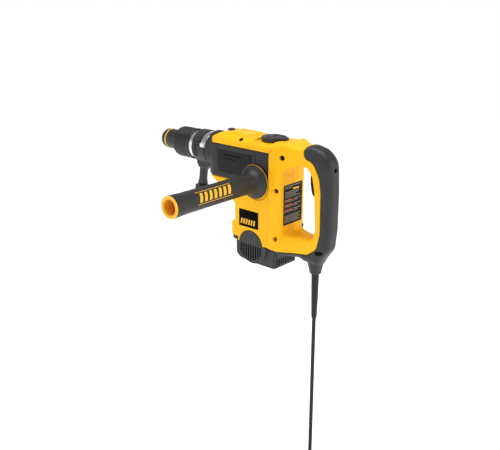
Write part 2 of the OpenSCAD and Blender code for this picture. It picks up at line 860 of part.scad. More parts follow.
module upper_bearing() {
    color(steel) from_axis() translate([motor_x, 0, 0]) difference() {
        rod_z(13, -62, -52);
        rod_z(5.05, -63, -51);
    }
}

module lower_bearing() {
    color(steel) from_axis() translate([motor_x, 0, 0]) difference() {
        rod_z(11, -206, -198);
        rod_z(5.05, -207, -197);
    }
}

// ---- Mains cord ----

// Route of the cord from its boot down to the coil, in the axis frame
cord_drop = [
    [120, 0, -300], [120, 0, -330], [120, 0, -365], [120, 0, -400], [120, 0, -435],
    [120, 0, -470], [120, 0, -505], [120, 0, -540], [120, 0, -575], [120, 0, -605],
    [120, 0, -629], [118, 0, -641], [111, 0, -652], [101, 0, -659], [88, 0, -661.2]];

// Middle of the coil on the floor
coil_centre = [88, -coil_r - 3 * turn_pitch, floor_z];

// Route from the coil's top turn to the plug, about the coil's middle
cord_tail = [
    [-35, 0, 19.2], [-34, -12, 21], [-30, -24, 24], [-22, -34, 26.5], [-11, -41, 27],
    [1, -45.5, 27], [13, -48, 27], [26, -48.5, 26.5], [38, -46, 23], [50, -40, 17],
    [61, -31.5, 12], [70, -21, 9.5], [76, -9, 9.5], [79.5, 4, 11.5], [80, 15.2, 14]];

module cord_boot() {
    color(black) from_axis() translate([boot_x, 0, 0]) rotate_extrude() polygon([
        [cord_d / 2, -184.5], [7.8, -184.5], [7.4, boot_top - 2], [6.7, boot_top - 45],
        [5.5, boot_tip + 5], [4.9, boot_tip], [cord_d / 2, boot_tip]]);
}

module cord_tube() {
    color(black) from_axis() {
        tube(cord_drop, cord_d / 2, 10, [0, 1, 0]);
        translate(coil_centre) tube(cord_tail, cord_d / 2, 10, [0, 0, 1]);
    }
}

// Outer outline of the coil's turns: three in the lowest layer and two in each of the others
function coil_outline(t) =
    let (inner = coil_r - cord_d / 2 - t, low = coil_r + 3 * turn_pitch + cord_d / 2 + t,
         high = coil_r + 2 * turn_pitch + cord_d / 2 + t, top = cord_d + 2 * layer_pitch + t)
    rounded([[inner, 0, 3], [low, 0, 3], [low, cord_d, 3], [high, cord_d + 3, 2],
             [high, top, 3], [inner, top, 3]]);

module cord_coil() {
    color(black) from_axis() translate(coil_centre) rotate_extrude() polygon(coil_outline(0));
}

// Band round the coil's turns
module cord_tie() {
    color(dark) from_axis() translate(coil_centre) rotate([0, 0, 20]) intersection() {
        difference() {
            rotate_extrude() polygon(coil_outline(1.2));
            rotate_extrude() polygon(coil_outline(0));
        }
        block([10, -6, 0], [90, 6, 60]);
    }
}

// The plug lies on the floor beside the coil
module plug_pose() {
    from_axis() translate(coil_centre + [80, 15, 14]) rotate([0, 0, 90]) children();
}

module plug_body() {
    color(black) plug_pose() rotate([0, 90, 0]) rotate_extrude() polygon(rounded([
        [0, 0, 0], [5, 0, 1], [7, 20, 6], [13.5, 30, 4], [14, 48, 3], [0, 48, 0]]));
}

module plug_pins() {
    color(steel) plug_pose() both_sides() block([48, -7.1, -3.2], [66, -5.6, 3.2]);
}

nose_cap();
cap_ring();
locking_sleeve();
sleeve_core();
sleeve_spring();
locking_rollers();
tool_holder();
front_collar();
clamp_bracket();
clamp_band();
clamp_bolt();
clamp_wheel();
gear_case();
top_cover();
top_plug();
cover_screws();
mode_selector();
motor_housing();
nameplates();
motor_cap();
cap_screws();
handle_left();
handle_right();
handle_screws();
grip_overmould();
rating_plate();
trigger();
switch_body();
side_grip();
side_core();
side_stud();
side_washer();
guide_cylinder();
beat_piece();
striker();
piston();
wrist_pin();
connecting_rod();
crankshaft();
crank_gear();
crank_bearing();
pinion();
armature();
commutator();
motor_fan();
stator();
brush_holders();
carbon_brushes();
upper_bearing();
lower_bearing();
cord_boot();
cord_tube();
cord_coil();
cord_tie();
plug_body();
plug_pins();
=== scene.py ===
"""Looks of a demolition hammer with its side handle and mains cord.

Shapes are drawn in millimetres in the axis frame: x along the tool's axis with the nose at -x and 0 at the
side handle, y to the tool's right, z up from the axis. Everything is moved to the row frame as it is made.
"""

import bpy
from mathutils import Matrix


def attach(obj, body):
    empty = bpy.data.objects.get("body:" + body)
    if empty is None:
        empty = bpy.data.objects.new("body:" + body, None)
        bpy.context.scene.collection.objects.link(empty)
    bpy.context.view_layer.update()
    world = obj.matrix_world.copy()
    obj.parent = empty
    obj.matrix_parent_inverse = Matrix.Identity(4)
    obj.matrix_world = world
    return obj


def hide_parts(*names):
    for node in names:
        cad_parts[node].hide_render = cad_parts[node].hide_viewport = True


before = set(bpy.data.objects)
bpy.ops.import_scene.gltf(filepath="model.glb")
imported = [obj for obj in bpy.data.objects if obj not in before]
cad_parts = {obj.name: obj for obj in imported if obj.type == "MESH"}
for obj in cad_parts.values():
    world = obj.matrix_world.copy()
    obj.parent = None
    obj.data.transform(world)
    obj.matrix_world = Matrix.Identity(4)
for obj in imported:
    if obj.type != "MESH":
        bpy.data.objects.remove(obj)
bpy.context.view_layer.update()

import math

import bpy
import numpy as np
from mathutils import Matrix, Vector

ORIGIN = np.array((141.5, 0.0, -62.0))
HALF = 39.0
SIDE_Z = -37.5
KNOB_X = 10
MOTOR_X = -6
BOSS = (-13, -171)
LOW_BOSS = (-8, -172)
PLUG_X = -98
CLAMP_ANGLE = 8.0
WHEEL_X = -172.3
BOOT_X = 120.0
CORD_RADIUS = 0.00384
FLOOR = -665.0
COIL = (88.0, -60.2, FLOOR)


def row(p):
    """A point of the axis frame, in the row frame in metres."""
    return tuple((np.asarray(p, float) - ORIGIN) * 0.001)


# ---- Camera ----

camera_data = bpy.data.cameras.new("camera")
camera_data.sensor_width = 36.0
camera_data.lens = 53.86
camera_data.clip_end = 20.0
camera = bpy.data.objects.new("camera", camera_data)
bpy.context.scene.collection.objects.link(camera)
azimuth, elevation = math.radians(41.8), math.radians(19.0)
back = Vector((math.sin(azimuth) * math.cos(elevation), -math.cos(azimuth) * math.cos(elevation),
               math.sin(elevation)))
right = Vector((0, 0, 1)).cross(back).normalized()
up = back.cross(right)
turn = Matrix((right, up, back)).transposed().to_4x4()
camera.matrix_world = Matrix.Translation((0.77396, -1.07862, 0.41307)) @ turn
bpy.context.scene.camera = camera


# ---- Materials ----

def linear(*rgb):
    """An sRGB colour from 0 to 255 as linear values."""
    out = []
    for c in rgb:
        c = c / 255.0
        out.append(c / 12.92 if c <= 0.04045 else ((c + 0.055) / 1.055) ** 2.4)
    return out + [1.0]


def finish_of(name, colour, second, rough=0.5, spread=0.08, grain=1400.0, bump=0.15, metal=0.0,
              wear=None, specular=0.5, brush=None, glow=0.0):
    """A moulded, painted or machined surface: two near tones, a fine grain and uneven roughness."""
    m = bpy.data.materials.new(name)
    m.use_nodes = True
    t = m.node_tree
    shader = t.nodes["Principled BSDF"]
    shader.inputs["Metallic"].default_value = metal
    shader.inputs["Specular IOR Level"].default_value = specular
    shader.inputs["Emission Color"].default_value = (1.0, 1.0, 1.0, 1.0)
    shader.inputs["Emission Strength"].default_value = glow
    where = t.nodes.new("ShaderNodeTexCoord")
    mapping = t.nodes.new("ShaderNodeMapping")
    if brush:
        mapping.inputs["Scale"].default_value = brush
    t.links.new(where.outputs["Object"], mapping.inputs["Vector"])

    def noise(scale, detail, source):
        n = t.nodes.new("ShaderNodeTexNoise")
        n.inputs["Scale"].default_value = scale
        n.inputs["Detail"].default_value = detail
        t.links.new(source.outputs[0 if source.type == "MAPPING" else 3], n.inputs["Vector"])
        return n

    large = noise(35.0, 4.0, where)
    fine = noise(grain, 2.0, mapping)
    ramp = t.nodes.new("ShaderNodeValToRGB")
    ramp.color_ramp.elements[0].position = 0.32
    ramp.color_ramp.elements[0].color = colour
    ramp.color_ramp.elements[1].position = 0.68
    ramp.color_ramp.elements[1].color = second
    t.links.new(large.outputs["Fac"], ramp.inputs["Fac"])
    tone = ramp.outputs["Color"]
    if wear:
        edge = t.nodes.new("ShaderNodeNewGeometry")
        worn = t.nodes.new("ShaderNodeMapRange")
        worn.inputs["From Min"].default_value = 0.53
        worn.inputs["From Max"].default_value = 0.66
        worn.inputs["To Max"].default_value = 0.6
        t.links.new(edge.outputs["Pointiness"], worn.inputs["Value"])
        mix = t.nodes.new("ShaderNodeMix")
        mix.data_type = "RGBA"
        mix.inputs[7].default_value = wear
        t.links.new(worn.outputs["Result"], mix.inputs[0])
        t.links.new(tone, mix.inputs[6])
        tone = mix.outputs[2]
    t.links.new(tone, shader.inputs["Base Color"])
    dull = t.nodes.new("ShaderNodeMapRange")
    dull.inputs["To Min"].default_value = max(rough - spread, 0.03)
    dull.inputs["To Max"].default_value = min(rough + spread, 1.0)
    t.links.new(fine.outputs["Fac"], dull.inputs["Value"])
    t.links.new(dull.outputs["Result"], shader.inputs["Roughness"])
    relief = t.nodes.new("ShaderNodeBump")
    relief.inputs["Strength"].default_value = bump
    relief.inputs["Distance"].default_value = 0.0002
    t.links.new(fine.outputs["Fac"], relief.inputs["Height"])
    t.links.new(relief.outputs["Normal"], shader.inputs["Normal"])
    return m


yellow = finish_of("yellow_moulding", linear(251, 184, 8), linear(253, 190, 13), 0.42, 0.05, 2600, 0.05,
                   wear=linear(255, 212, 60), specular=0.18)
rubber = finish_of("grip_rubber", linear(36, 36, 37), linear(42, 42, 43), 0.46, 0.08, 1800, 0.2,
                   wear=linear(66, 66, 66), specular=0.4)
dark = finish_of("grained_dark_plastic", linear(40, 41, 43), linear(47, 48, 50), 0.48, 0.09, 1500, 0.3,
                 wear=linear(76, 77, 79), specular=0.4)
painted = finish_of("textured_grey_paint", linear(34, 35, 36), linear(40, 41, 42), 0.5, 0.1, 1300, 0.3,
                    wear=linear(80, 80, 80), specular=0.35)
satin_black = finish_of("satin_black_plastic", linear(14, 14, 15), linear(19, 19, 20), 0.4, 0.06, 1600,
                        0.15, specular=0.2)
sleeve_rubber = finish_of("sleeve_rubber", linear(30, 30, 31), linear(37, 37, 38), 0.38, 0.08, 1500, 0.2,
                          wear=linear(76, 76, 76), specular=0.5)
gold = finish_of("gold_ring_plastic", linear(206, 164, 30), linear(224, 182, 44), 0.38, 0.06, 1500, 0.1)
polished = finish_of("turned_bright_steel", linear(222, 223, 226), linear(238, 238, 240), 0.2, 0.06, 900,
                     0.05, metal=1.0, brush=(14.0, 0.6, 0.6))
steel = finish_of("ground_steel", linear(150, 152, 156), linear(176, 178, 180), 0.34, 0.1, 700, 0.08,
                  metal=1.0, brush=(8.0, 0.8, 0.8))
zinc = finish_of("zinc_plated_steel", linear(120, 121, 124), linear(150, 150, 152), 0.42, 0.12, 900, 0.12,
                 metal=1.0)
copper = finish_of("turned_copper", linear(184, 110, 70), linear(206, 130, 84), 0.35, 0.1, 900, 0.08,
                   metal=1.0)
carbon = finish_of("sintered_carbon", linear(40, 40, 42), linear(52, 52, 54), 0.7, 0.1, 1200, 0.3)
core_yellow = finish_of("side_handle_core", linear(250, 186, 30), linear(254, 192, 36), 0.36, 0.05, 2000,
                        0.06)
# The core's yellow made more orange for the inside of the hollow side grip and its fins: the core's own colour
# with painted shade.
core_orange_painted_shade = finish_of("hollow_core_painted_shade", linear(250, 170, 50), linear(252, 180, 58), 0.45, 0.06, 2000, 0.06,
                          specular=0.3)
print_yellow = finish_of("printed_yellow", linear(244, 184, 20), linear(250, 190, 26), 0.5, 0.05, 2500,
                         0.03)
# Darker amber for the floors of the top cover's slots: painted shade in the recesses, not print.
slot_shade_amber = finish_of("painted_slot_shade_amber", linear(196, 140, 16), linear(206, 150, 22), 0.5, 0.05, 2500, 0.03,
                        specular=0.2)
print_grey = finish_of("printed_grey", linear(118, 112, 100), linear(136, 128, 112), 0.55, 0.05, 2500, 0.03)
print_orange = finish_of("printed_orange", linear(190, 92, 34), linear(204, 102, 40), 0.55, 0.05, 2500,
                         0.03)
plate_black = finish_of("plate_foil", linear(5, 5, 6), linear(8, 8, 9), 0.35, 0.05, 1800, 0.04,
                        specular=0.03)
label_foil = finish_of("label_foil", linear(22, 20, 16), linear(30, 27, 22), 0.42, 0.06, 1800, 0.05,
                       specular=0.1)
cord_black = finish_of("cord_rubber", linear(32, 32, 33), linear(38, 38, 39), 0.5, 0.08, 2200, 0.15,
                       wear=linear(58, 58, 58), specular=0.25)
# Near-black: real dark bars on the gear case, and painted shade on the floor of the grip's oval slot.
print_and_shade_black = finish_of("print_and_painted_shade_black", linear(6, 6, 6), linear(9, 9, 9), 0.5, 0.08, 1500, 0.1,
                         specular=0.1)
inlay_black = finish_of("panel_inlay", linear(24, 24, 25), linear(30, 30, 31), 0.55, 0.1, 1300, 0.3,
                        specular=0.2)


# ---- Mesh makers ----

def place(ob, body, nodes):
    bpy.context.scene.collection.objects.link(ob)
    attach(ob, body)
    if nodes:
        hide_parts(*nodes)
    return ob


def piece(name, points, faces, material, body="housing", slot="dark_plastic", nodes=(), crease=None):
    """A mesh piece from points in the axis frame."""
    points = (np.asarray(points, float) - ORIGIN) * 0.001
    mesh = bpy.data.meshes.new(name)
    mesh.from_pydata(points.tolist(), [], [list(map(int, f)) for f in faces])
    mesh.materials.append(material)
    mesh.polygons.foreach_set("use_smooth", [True] * len(mesh.polygons))
    if crease:
        mesh.set_sharp_from_angle(angle=math.radians(crease))
    mesh.update()
    return place(bpy.data.objects.new(name, mesh), body, nodes)


def rounded(points, steps=6):
    """The outline through [u, v, radius] corners, as points."""
    out = []
    count = len(points)
    for i, (u, v, r) in enumerate(points):
        p = np.array((u, v), float)
        if r <= 0:
            out.append(tuple(p))
            continue
        a = np.array(points[i - 1][:2], float) - p
        b = np.array(points[(i + 1) % count][:2], float) - p
        a /= np.linalg.norm(a)
        b /= np.linalg.norm(b)
        half = math.acos(max(-1.0, min(1.0, float(a @ b)))) / 2
        if half > math.pi / 2 - 0.005:
            out.append(tuple(p))
            continue
        centre = p + (a + b) / np.linalg.norm(a + b) * r / math.sin(half)
        start = p + a * r / math.tan(half) - centre
        end = p + b * r / math.tan(half) - centre
        first = math.atan2(start[1], start[0])
        sweep = (math.atan2(end[1], end[0]) - first + math.pi) % (2 * math.pi) - math.pi
        for k in range(steps + 1):
            angle = first + sweep * k / steps
            out.append((centre[0] + r * math.cos(angle), centre[1] + r * math.sin(angle)))
    return out


def frame_of(axis):
    """Two directions across an axis, so that across, other, axis is right-handed."""
    axis = np.asarray(axis, float) / np.linalg.norm(axis)
    across = np.cross(axis, (0, 0, 1.0))
    if np.linalg.norm(across) < 0.1:
        across = np.cross(axis, (0, 1.0, 0))
    across /= np.linalg.norm(across)
    return across, np.cross(axis, across), axis


def turned(profile, centre=(0, 0, 0), axis=(1, 0, 0), sides=96, shape=None):
    """Points and faces of a closed turned solid. profile is a closed list of (along, radius)."""
    across, other, axis = frame_of(axis)
    count = len(profile)
    angles = np.arange(sides) * 2 * math.pi / sides
    points = []
    for along, radius in profile:
        for angle in angles:
            r = radius if shape is None else shape(along, radius, angle)
            outward = math.cos(angle) * across + math.sin(angle) * other
            points.append(np.asarray(centre) + axis * along + r * outward)
    faces = []
    area = sum(profile[i - 1][0] * profile[i][1] - profile[i][0] * profile[i - 1][1] for i in range(count))
    for i in range(count):
        j = (i + 1) % count
        if profile[i][1] < 1e-6 and profile[j][1] < 1e-6:
            continue
        for k in range(sides):
            n = (k + 1) % sides
            quad = [i * sides + k, i * sides + n, j * sides + n, j * sides + k]
            if profile[i][1] < 1e-6:
                quad = [i * sides, quad[2], quad[3]]
            elif profile[j][1] < 1e-6:
                quad = [quad[0], quad[1], j * sides]
            faces.append(quad if area < 0 else quad[::-1])
    return points, faces


def joined(*parts):
    """Several (points, faces) pairs as one."""
    points, faces = [], []
    for some, more in parts:
        start = len(points)
        points.extend(np.asarray(some, float).tolist())
        faces.extend([[start + i for i in f] for f in more])
    return points, faces


def lathe(name, profile, material, centre=(0, 0, 0), axis=(1, 0, 0), sides=96, shape=None, crease=32,
          **rest):
    points, faces = turned(profile, centre, axis, sides, shape)
    return piece(name, points, faces, material, crease=crease, **rest)


def prism(outline, base, height, u, v):
    """A closed prism: a convex outline in the directions u and v from base, raised by the vector height."""
    u, v, height, base = (np.asarray(q, float) for q in (u, v, height, base))
    count = len(outline)
    low = [base + a * u + b * v for a, b in outline]
    points = low + [p + height for p in low]
    faces = [list(range(count))[::-1], list(range(count, 2 * count))]
    faces += [[i, (i + 1) % count, (i + 1) % count + count, i + count] for i in range(count)]
    if np.dot(np.cross(u, v), height) * sum(
            outline[i - 1][0] * outline[i][1] - outline[i][0] * outline[i - 1][1] for i in range(count)) < 0:
        faces = [f[::-1] for f in faces]
    return points, faces


class Grid:
    """A box of sample points on which signed distances in millimetres are combined into a solid."""

    def __init__(self, low, high, step):
        self.low, self.step = np.asarray(low, float), step
        size = [int(math.ceil((b - a) / step)) + 1 for a, b in zip(low, high)]
        self.x, self.y, self.z = (low[i] + step * np.arange(size[i]) for i in range(3))
        self.X, self.Y, self.Z = self.x[:, None, None], self.y[None, :, None], self.z[None, None, :]

    def side(self, outline):
        return outline_distance(outline, self.x, self.z)[:, None, :]

    def front(self, outline):
        return outline_distance(outline, self.y, self.z)[None, :, :]

    def plan(self, outline):
        return outline_distance(outline, self.x, self.y)[:, :, None]

    def rod_x(self, y, z, r):
        return np.hypot(self.Y - y, self.Z - z) - r

    def rod_y(self, x, z, r):
        return np.hypot(self.X - x, self.Z - z) - r

    def rod_z(self, x, y, r):
        return np.hypot(self.X - x, self.Y - y) - r

    def box(self, low, high, r=0.0):
        parts = [np.abs(s - (a + b) / 2) - (b - a) / 2 for s, a, b in zip((self.X, self.Y, self.Z), low,
                high)]
        return both(both(parts[0], parts[1], r), parts[2], r)

    def slab(self, axis, low, high):
        s = (self.X, self.Y, self.Z)[axis]
        return np.maximum(low - s, s - high)

    def surface(self, field):
        """Points and quads of the zero surface, by surface nets."""
        shape = (len(self.x), len(self.y), len(self.z))
        f = np.ascontiguousarray(np.broadcast_to(field, shape)).astype(np.float64)
        inside = f < 0
        total = np.zeros([n - 1 for n in shape], np.int8)
        corners = [(a, b, c) for a in (0, 1) for b in (0, 1) for c in (0, 1)]
        for a, b, c in corners:
            total += inside[a:shape[0] - 1 + a, b:shape[1] - 1 + b, c:shape[2] - 1 + c]
        cells = np.argwhere((total > 0) & (total < 8))
        index = -np.ones(total.shape, np.int64)
        index[tuple(cells.T)] = np.arange(len(cells))
        spot, hits = np.zeros((len(cells), 3)), np.zeros(len(cells))
        for axis in range(3):
            for corner in corners:
                if corner[axis]:
                    continue
                a = cells + corner
                b = a.copy()
                b[:, axis] += 1
                fa, fb = f[tuple(a.T)], f[tuple(b.T)]
                cross = (fa < 0) != (fb < 0)
                t = np.where(cross, fa / np.where(cross, fa - fb, 1.0), 0.0)
                p = a.astype(float)
                p[:, axis] += t
                spot[cross] += p[cross]
                hits[cross] += 1
        points = self.low + self.step * spot / hits[:, None]
        quads = []
        for axis in range(3):
            b, c = (axis + 1) % 3, (axis + 2) % 3
            near = [slice(1, -1)] * 3
            near[axis] = slice(0, -1)
            far = list(near)
            far[axis] = slice(1, None)
            change = inside[tuple(near)] != inside[tuple(far)]
            n = np.argwhere(change) + [s.start for s in near]
            unit = np.eye(3, dtype=int)
            ring = [index[tuple((n - d).T)] for d in (unit[b] + unit[c], unit[c], 0 * unit[b], unit[b])]
            quad = np.stack(ring, 1)
            out = ~inside[tuple(n.T)]
            quad[out] = quad[out][:, ::-1]
            quads.append(quad)
        return points, np.concatenate(quads)

    def solid(self, name, field, material, **rest):
        points, quads = self.surface(field)
        return piece(name, points, quads.tolist(), material, **rest)


def outline_distance(outline, u, v):
    p = np.asarray(outline, float)
    q = np.roll(p, -1, axis=0)
    U, V = u[:, None], v[None, :]
    best = np.full((len(u), len(v)), 1e12)
    odd = np.zeros((len(u), len(v)), bool)
    for (au, av), (bu, bv) in zip(p, q):
        eu, ev = bu - au, bv - av
        span = eu * eu + ev * ev
        if span < 1e-12:
            continue
        t = np.clip(((U - au) * eu + (V - av) * ev) / span, 0, 1)
        best = np.minimum(best, (U - au - t * eu) ** 2 + (V - av - t * ev) ** 2)
        if av != bv:
            odd ^= ((av <= V) != (bv <= V)) & (U < au + (V - av) * eu / ev)
    return np.where(odd, -1.0, 1.0) * np.sqrt(best)


def both(a, b, r=0.0):
    """What two solids share, with its edge rounded by r."""
    return np.minimum(np.maximum(a + r, b + r), 0) + np.hypot(np.maximum(a + r, 0), np.maximum(b + r,
            0)) - r


def either(a, b, k=0.0):
    """Two solids as one, with a fillet of about k between them."""
    if k <= 0:
        return np.minimum(a, b)
    h = np.clip(0.5 + 0.5 * (b - a) / k, 0, 1)
    return b * (1 - h) + a * h - k * h * (1 - h)


def less(a, b, r=0.0):
    """The first solid without the second."""
    return both(a, -b, r)


def ease(t):
    t = np.clip(t, 0, 1)
    return t * t * (3 - 2 * t)


# ---- Cord ----

def coil_turn(angle, start, end, first, last, z0, z1, rise):
    """Radius and height in one layer of the coil. It climbs over the last part of the layer."""
    t = (angle - start) / (end - start)
    climb = ease((angle - (end - rise)) / rise)
    return first + (last - first) * t, z0 + (z1 - z0) * climb


route = [(BOOT_X, 0, z) for z in (-300, -330, -365, -400, -435, -470, -505, -540, -575, -605)]
route += [(BOOT_X - back_by, 0, z) for back_by, z in ((0, -629), (2, -641), (9, -652), (19, -659))]
layers = [(3, 60.2, 35.0), (2, 35.0, 51.8), (2, 51.8, 35.0)]
angle = 90.0
for level, (turns, first, last) in enumerate(layers):
    extra = 90.0 if level == 2 else 0.0
    end = angle + 360 * turns + extra
    z0 = 3.8 + 7.7 * level
    z1 = z0 if level == 2 else z0 + 7.7
    a = angle
    while a < end - 1e-6:
        r, z = coil_turn(a, angle, end, first, last, z0, z1, 50.0)
        route.append((COIL[0] + r * math.cos(math.radians(a)), COIL[1] + r * math.sin(math.radians(a)),
                      FLOOR + z))
        a += 22.5
    angle = end
tail = [(-35, 0, 19.2), (-34, -12, 21), (-30, -24, 24), (-22, -34, 26.5), (-11, -41, 27), (1, -45.5, 27),
        (13, -48, 27), (26, -48.5, 26.5), (38, -46, 23), (50, -40, 17), (61, -31.5, 12), (70, -21, 9.5),
        (76, -9, 9.5), (79.5, 4, 11.5), (80, 15.2, 14)]
route += [tuple(np.add(COIL, p)) for p in tail]

cord_curve = bpy.data.curves.new("mains_cord", "CURVE")
cord_curve.dimensions = "3D"
cord_curve.bevel_depth = CORD_RADIUS
cord_curve.bevel_resolution = 6
cord_curve.resolution_u = 6
cord_curve.use_fill_caps = True
spline = cord_curve.splines.new("BEZIER")
spline.bezier_points.add(len(route) - 1)
for point, p in zip(spline.bezier_points, route):
    point.co = row(p)
    point.handle_left_type = point.handle_right_type = "AUTO"
cord_curve.materials.append(cord_black)
mains_cord = place(bpy.data.objects.new("mains_cord", cord_curve), "housing", ["cord_tube",
        "cord_coil"])

# ---- Nose ----

lathe("nose_cap_rubber", rounded([
    (-290, 12.2, 0.8), (-290, 18, 1.6), (-284.5, 20.8, 3), (-277.6, 21, 0.4), (-277.6, 20.2, 0),
    (-273.4, 20.2, 0),
    (-273.4, 21, 0.4), (-262, 20.9, 8), (-249.5, 20.4, 1.5), (-246, 19.8, 0.8), (-246, 16.3, 0),
    (-285, 16.3, 0),
    (-285, 12.2, 0)]), sleeve_rubber, body="spindle", slot="black_rubber", nodes=["nose_cap"])
lathe("nose_ring", rounded([
    (-277.4, 20.2, 0), (-277.2, 21.5, 0.5), (-273.8, 21.5, 0.5), (-273.6, 20.2, 0)]), gold,
    body="spindle", slot="gold_ring", nodes=["cap_ring"])

ribs = []
for i in range(8):
    start = -236.4 + 4.2 * i
    ribs += [(start, 30.9, 0.3), (start + 0.4, 31.9, 0.4), (start + 2.4, 31.9, 0.4), (start + 2.8, 30.9,
            0.3)]
lathe("sleeve_ribbed_rubber", rounded([(-239.6, 30.45, 0.3), (-239.2, 31.2, 0.3)] + ribs + [
    (-202.0, 31.0, 0.4), (-200.6, 32.2, 1), (-194.4, 32.3, 0.8), (-194, 30.5, 0.3)]),
    sleeve_rubber, body="sleeve", slot="black_rubber", nodes=["locking_sleeve"], sides=128, crease=38)
lathe("sleeve_front", rounded([
    (-245.7, 16.7, 0), (-245.7, 23.6, 1.6), (-242.6, 27.6, 5), (-239.6, 30.3, 1.2), (-214, 30.4, 0),
    (-214, 26, 0),
    (-238, 26, 0), (-238, 16.7, 0)]), sleeve_rubber, body="sleeve", slot="grey_paint",
    nodes=["sleeve_core"])

lathe("collar_polished", rounded([
    (-203, 24.4, 0), (-203, 28, 0.6), (-201.4, 29.9, 0.9), (-184.3, 29.9, 0.5), (-184, 24.4, 0)]), polished,
    slot="bright_steel", nodes=["front_collar"], sides=128)


def splined(_, radius, angle):
    """Five keyways down the shank bore."""
    if radius > 9.3:
        return radius
    return radius + 0.9 * float(ease((math.cos(5 * angle) - 0.72) / 0.2))


lathe("chuck_bore", rounded([
    (-284.8, 9, 0.8), (-284.8, 16.2, 0), (-227, 16.2, 0), (-227, 21.5, 0), (-206, 21.5, 0), (-206, 24, 0),
    (-130, 24, 0), (-130, 21, 0), (-178, 21, 0), (-178, 11, 0), (-214, 11, 0), (-214, 9, 0)]),
    steel, body="spindle", slot="steel", nodes=["tool_holder"], sides=120, shape=splined)


# ---- Front clamp, drawn hanging down and turned by CLAMP_ANGLE ----

def swung(points):
    a = math.radians(-CLAMP_ANGLE)
    p = np.asarray(points, float)
    out = p.copy()
    out[:, 1] = p[:, 1] * math.cos(a) - p[:, 2] * math.sin(a)
    out[:, 2] = p[:, 1] * math.sin(a) + p[:, 2] * math.cos(a)
    return out


g = Grid((-184, -38, -85), (-141, 38, 38), 0.8)
ring = both(g.rod_x(0, 0, 34.2), g.slab(0, -181.5, -160.5), 1.6)
lug = both(g.side(rounded([(-181.5, -20, 0), (-181.5, -36, 3), (-174, -46, 8), (-152, -44, 8), (-143.5, -37,
        4), (-143.5, -20, 0)])),
           g.slab(1, -15, 15), 3.0)
arm = both(g.side(rounded([
    (-181, -26, 0), (-179, -44, 10), (-179, -68, 14), (-182, -82, 2), (-162, -82, 2),
    (-165.5, -68, 14), (-165.5, -49, 10), (-144, -37, 0), (-144, -26, 0)])), g.slab(1, -6.8, 6.8), 2.4)
bracket = either(either(ring, lug, 3.0), arm, 4.0)
shell = both(both(g.rod_x(0, 0, 35.4), g.slab(0, -165, -143.8), 1.2), g.Z, 0.8)
bracket = either(bracket, shell, 1.0)
bracket = less(bracket, np.maximum(g.rod_x(0, 0, 30.35), g.slab(0, -190, -130)), 0.4)
bracket = less(bracket, np.maximum(g.rod_x(0, 0, 32.7), g.slab(0, -159, -130)), 0.3)
for side in (0, 1):
    for i in range(-2, 5):
        a = math.radians((90 if side == 0 else -90) + i * 8)
        across = g.Y * math.cos(a) + g.Z * math.sin(a)
        deep = -g.Z * math.cos(a) + g.Y * math.sin(a)
        notch = np.maximum(np.maximum(np.abs(across) - 1.1, 31.8 - deep), g.slab(0, -174, -163.5))
        bracket = less(bracket, notch, 0.3)
bracket = less(bracket, np.maximum(g.rod_z(WHEEL_X, 0, 3.3), g.slab(2, -95, -33)), 0.2)
points, quads = g.surface(bracket)
piece("clamp_bracket_moulding", swung(points), quads.tolist(), dark, body="clamp", slot="dark_plastic",
      nodes=["clamp_bracket"])

band_profile = rounded([(-158, 30.4, 0), (-158, 32.3, 0.5), (-144.5, 32.3, 0.5), (-144.5, 30.4, 0)])
band = turned(band_profile, sides=128)
buckle = prism(rounded([(-157, -4.5, 1), (-145.5, -4.5, 1), (-145.5, 4.5, 1), (-157, 4.5, 1)]),
               (0, -32.0, 8.5), (0, -1.0, 0), (1, 0, 0), (0, 0, 1))
points, faces = joined(band, buckle)
piece("clamp_band_polished", points, faces, polished, body="clamp", slot="bright_steel",
      nodes=["clamp_band"], crease=32)


def fluted(_, radius, angle):
    if radius < 12:
        return radius
    return radius - 1.6 * max(0.0, math.cos(12 * angle)) ** 3


wheel_profile = rounded([(82.4, 3.1, 0), (82.4, 15, 1.2), (93.6, 15.5, 1.6), (94, 10, 1), (91.5, 8, 1),
                         (91.5, 3.1, 0)])
down = swung([(0, 0, -1)])[0]
lathe("clamp_wheel_fluted", wheel_profile, dark, centre=(WHEEL_X, 0, 0), axis=down, sides=144, shape=fluted,
      body="wheel",
      slot="dark_plastic", nodes=["clamp_wheel"])


# ---- Gear case ----

g = Grid((-186, -42, -49), (36, 42, 44), 0.85)
case_plan = rounded([(-132, -30, 6), (-116, -38.5, 10), (36, -38.5, 0), (36, 38.5, 0), (-116, 38.5, 10),
                     (-132, 30, 6)])
box = both(g.plan(case_plan), g.slab(2, -45, 22), 2.2)
box = np.maximum(box, g.X - 32.6)
front = both(g.rod_x(0, 0, 37.5), g.slab(0, -140, -115), 2.5)
hood = both(g.rod_x(0, 0, 33), g.slab(0, -120, -70), 2.0)
neck = both(g.rod_x(0, 0, 30), g.slab(0, -184, -135), 1.0)
case = either(either(either(box, front, 3.0), hood, 1.0), neck, 2.5)
field = g.side(rounded([(-104, 13, 3), (-100, -34, 3), (-14, -34, 3), (-8, 13, 3)]))
step_line = g.side(rounded([(-3, 17.5, 1), (3, -41, 1), (5.4, -41, 1), (-0.6, 17.5, 1)]))
for sign in (-1, 1):
    wall = 38.5 - sign * g.Y
    case = less(case, np.maximum(field, wall - 1.3), 0.5)
    case = less(case, np.maximum(step_line, wall - 1.1), 0.4)
case = less(case, np.maximum(g.rod_x(0, 0, 24.4), g.slab(0, -190, -127)), 0.3)
case = less(case, np.maximum(g.rod_x(0, 0, 22.0), g.slab(0, -129, -75)))
case = less(case, either(g.box((-78, -33, -38), (-10.5, 33, 18)), g.box((-11, -24, -38), (24, 24, 18))))
case = less(case, np.maximum(g.rod_z(MOTOR_X, 0, 9.5), g.slab(2, -60, -37)))
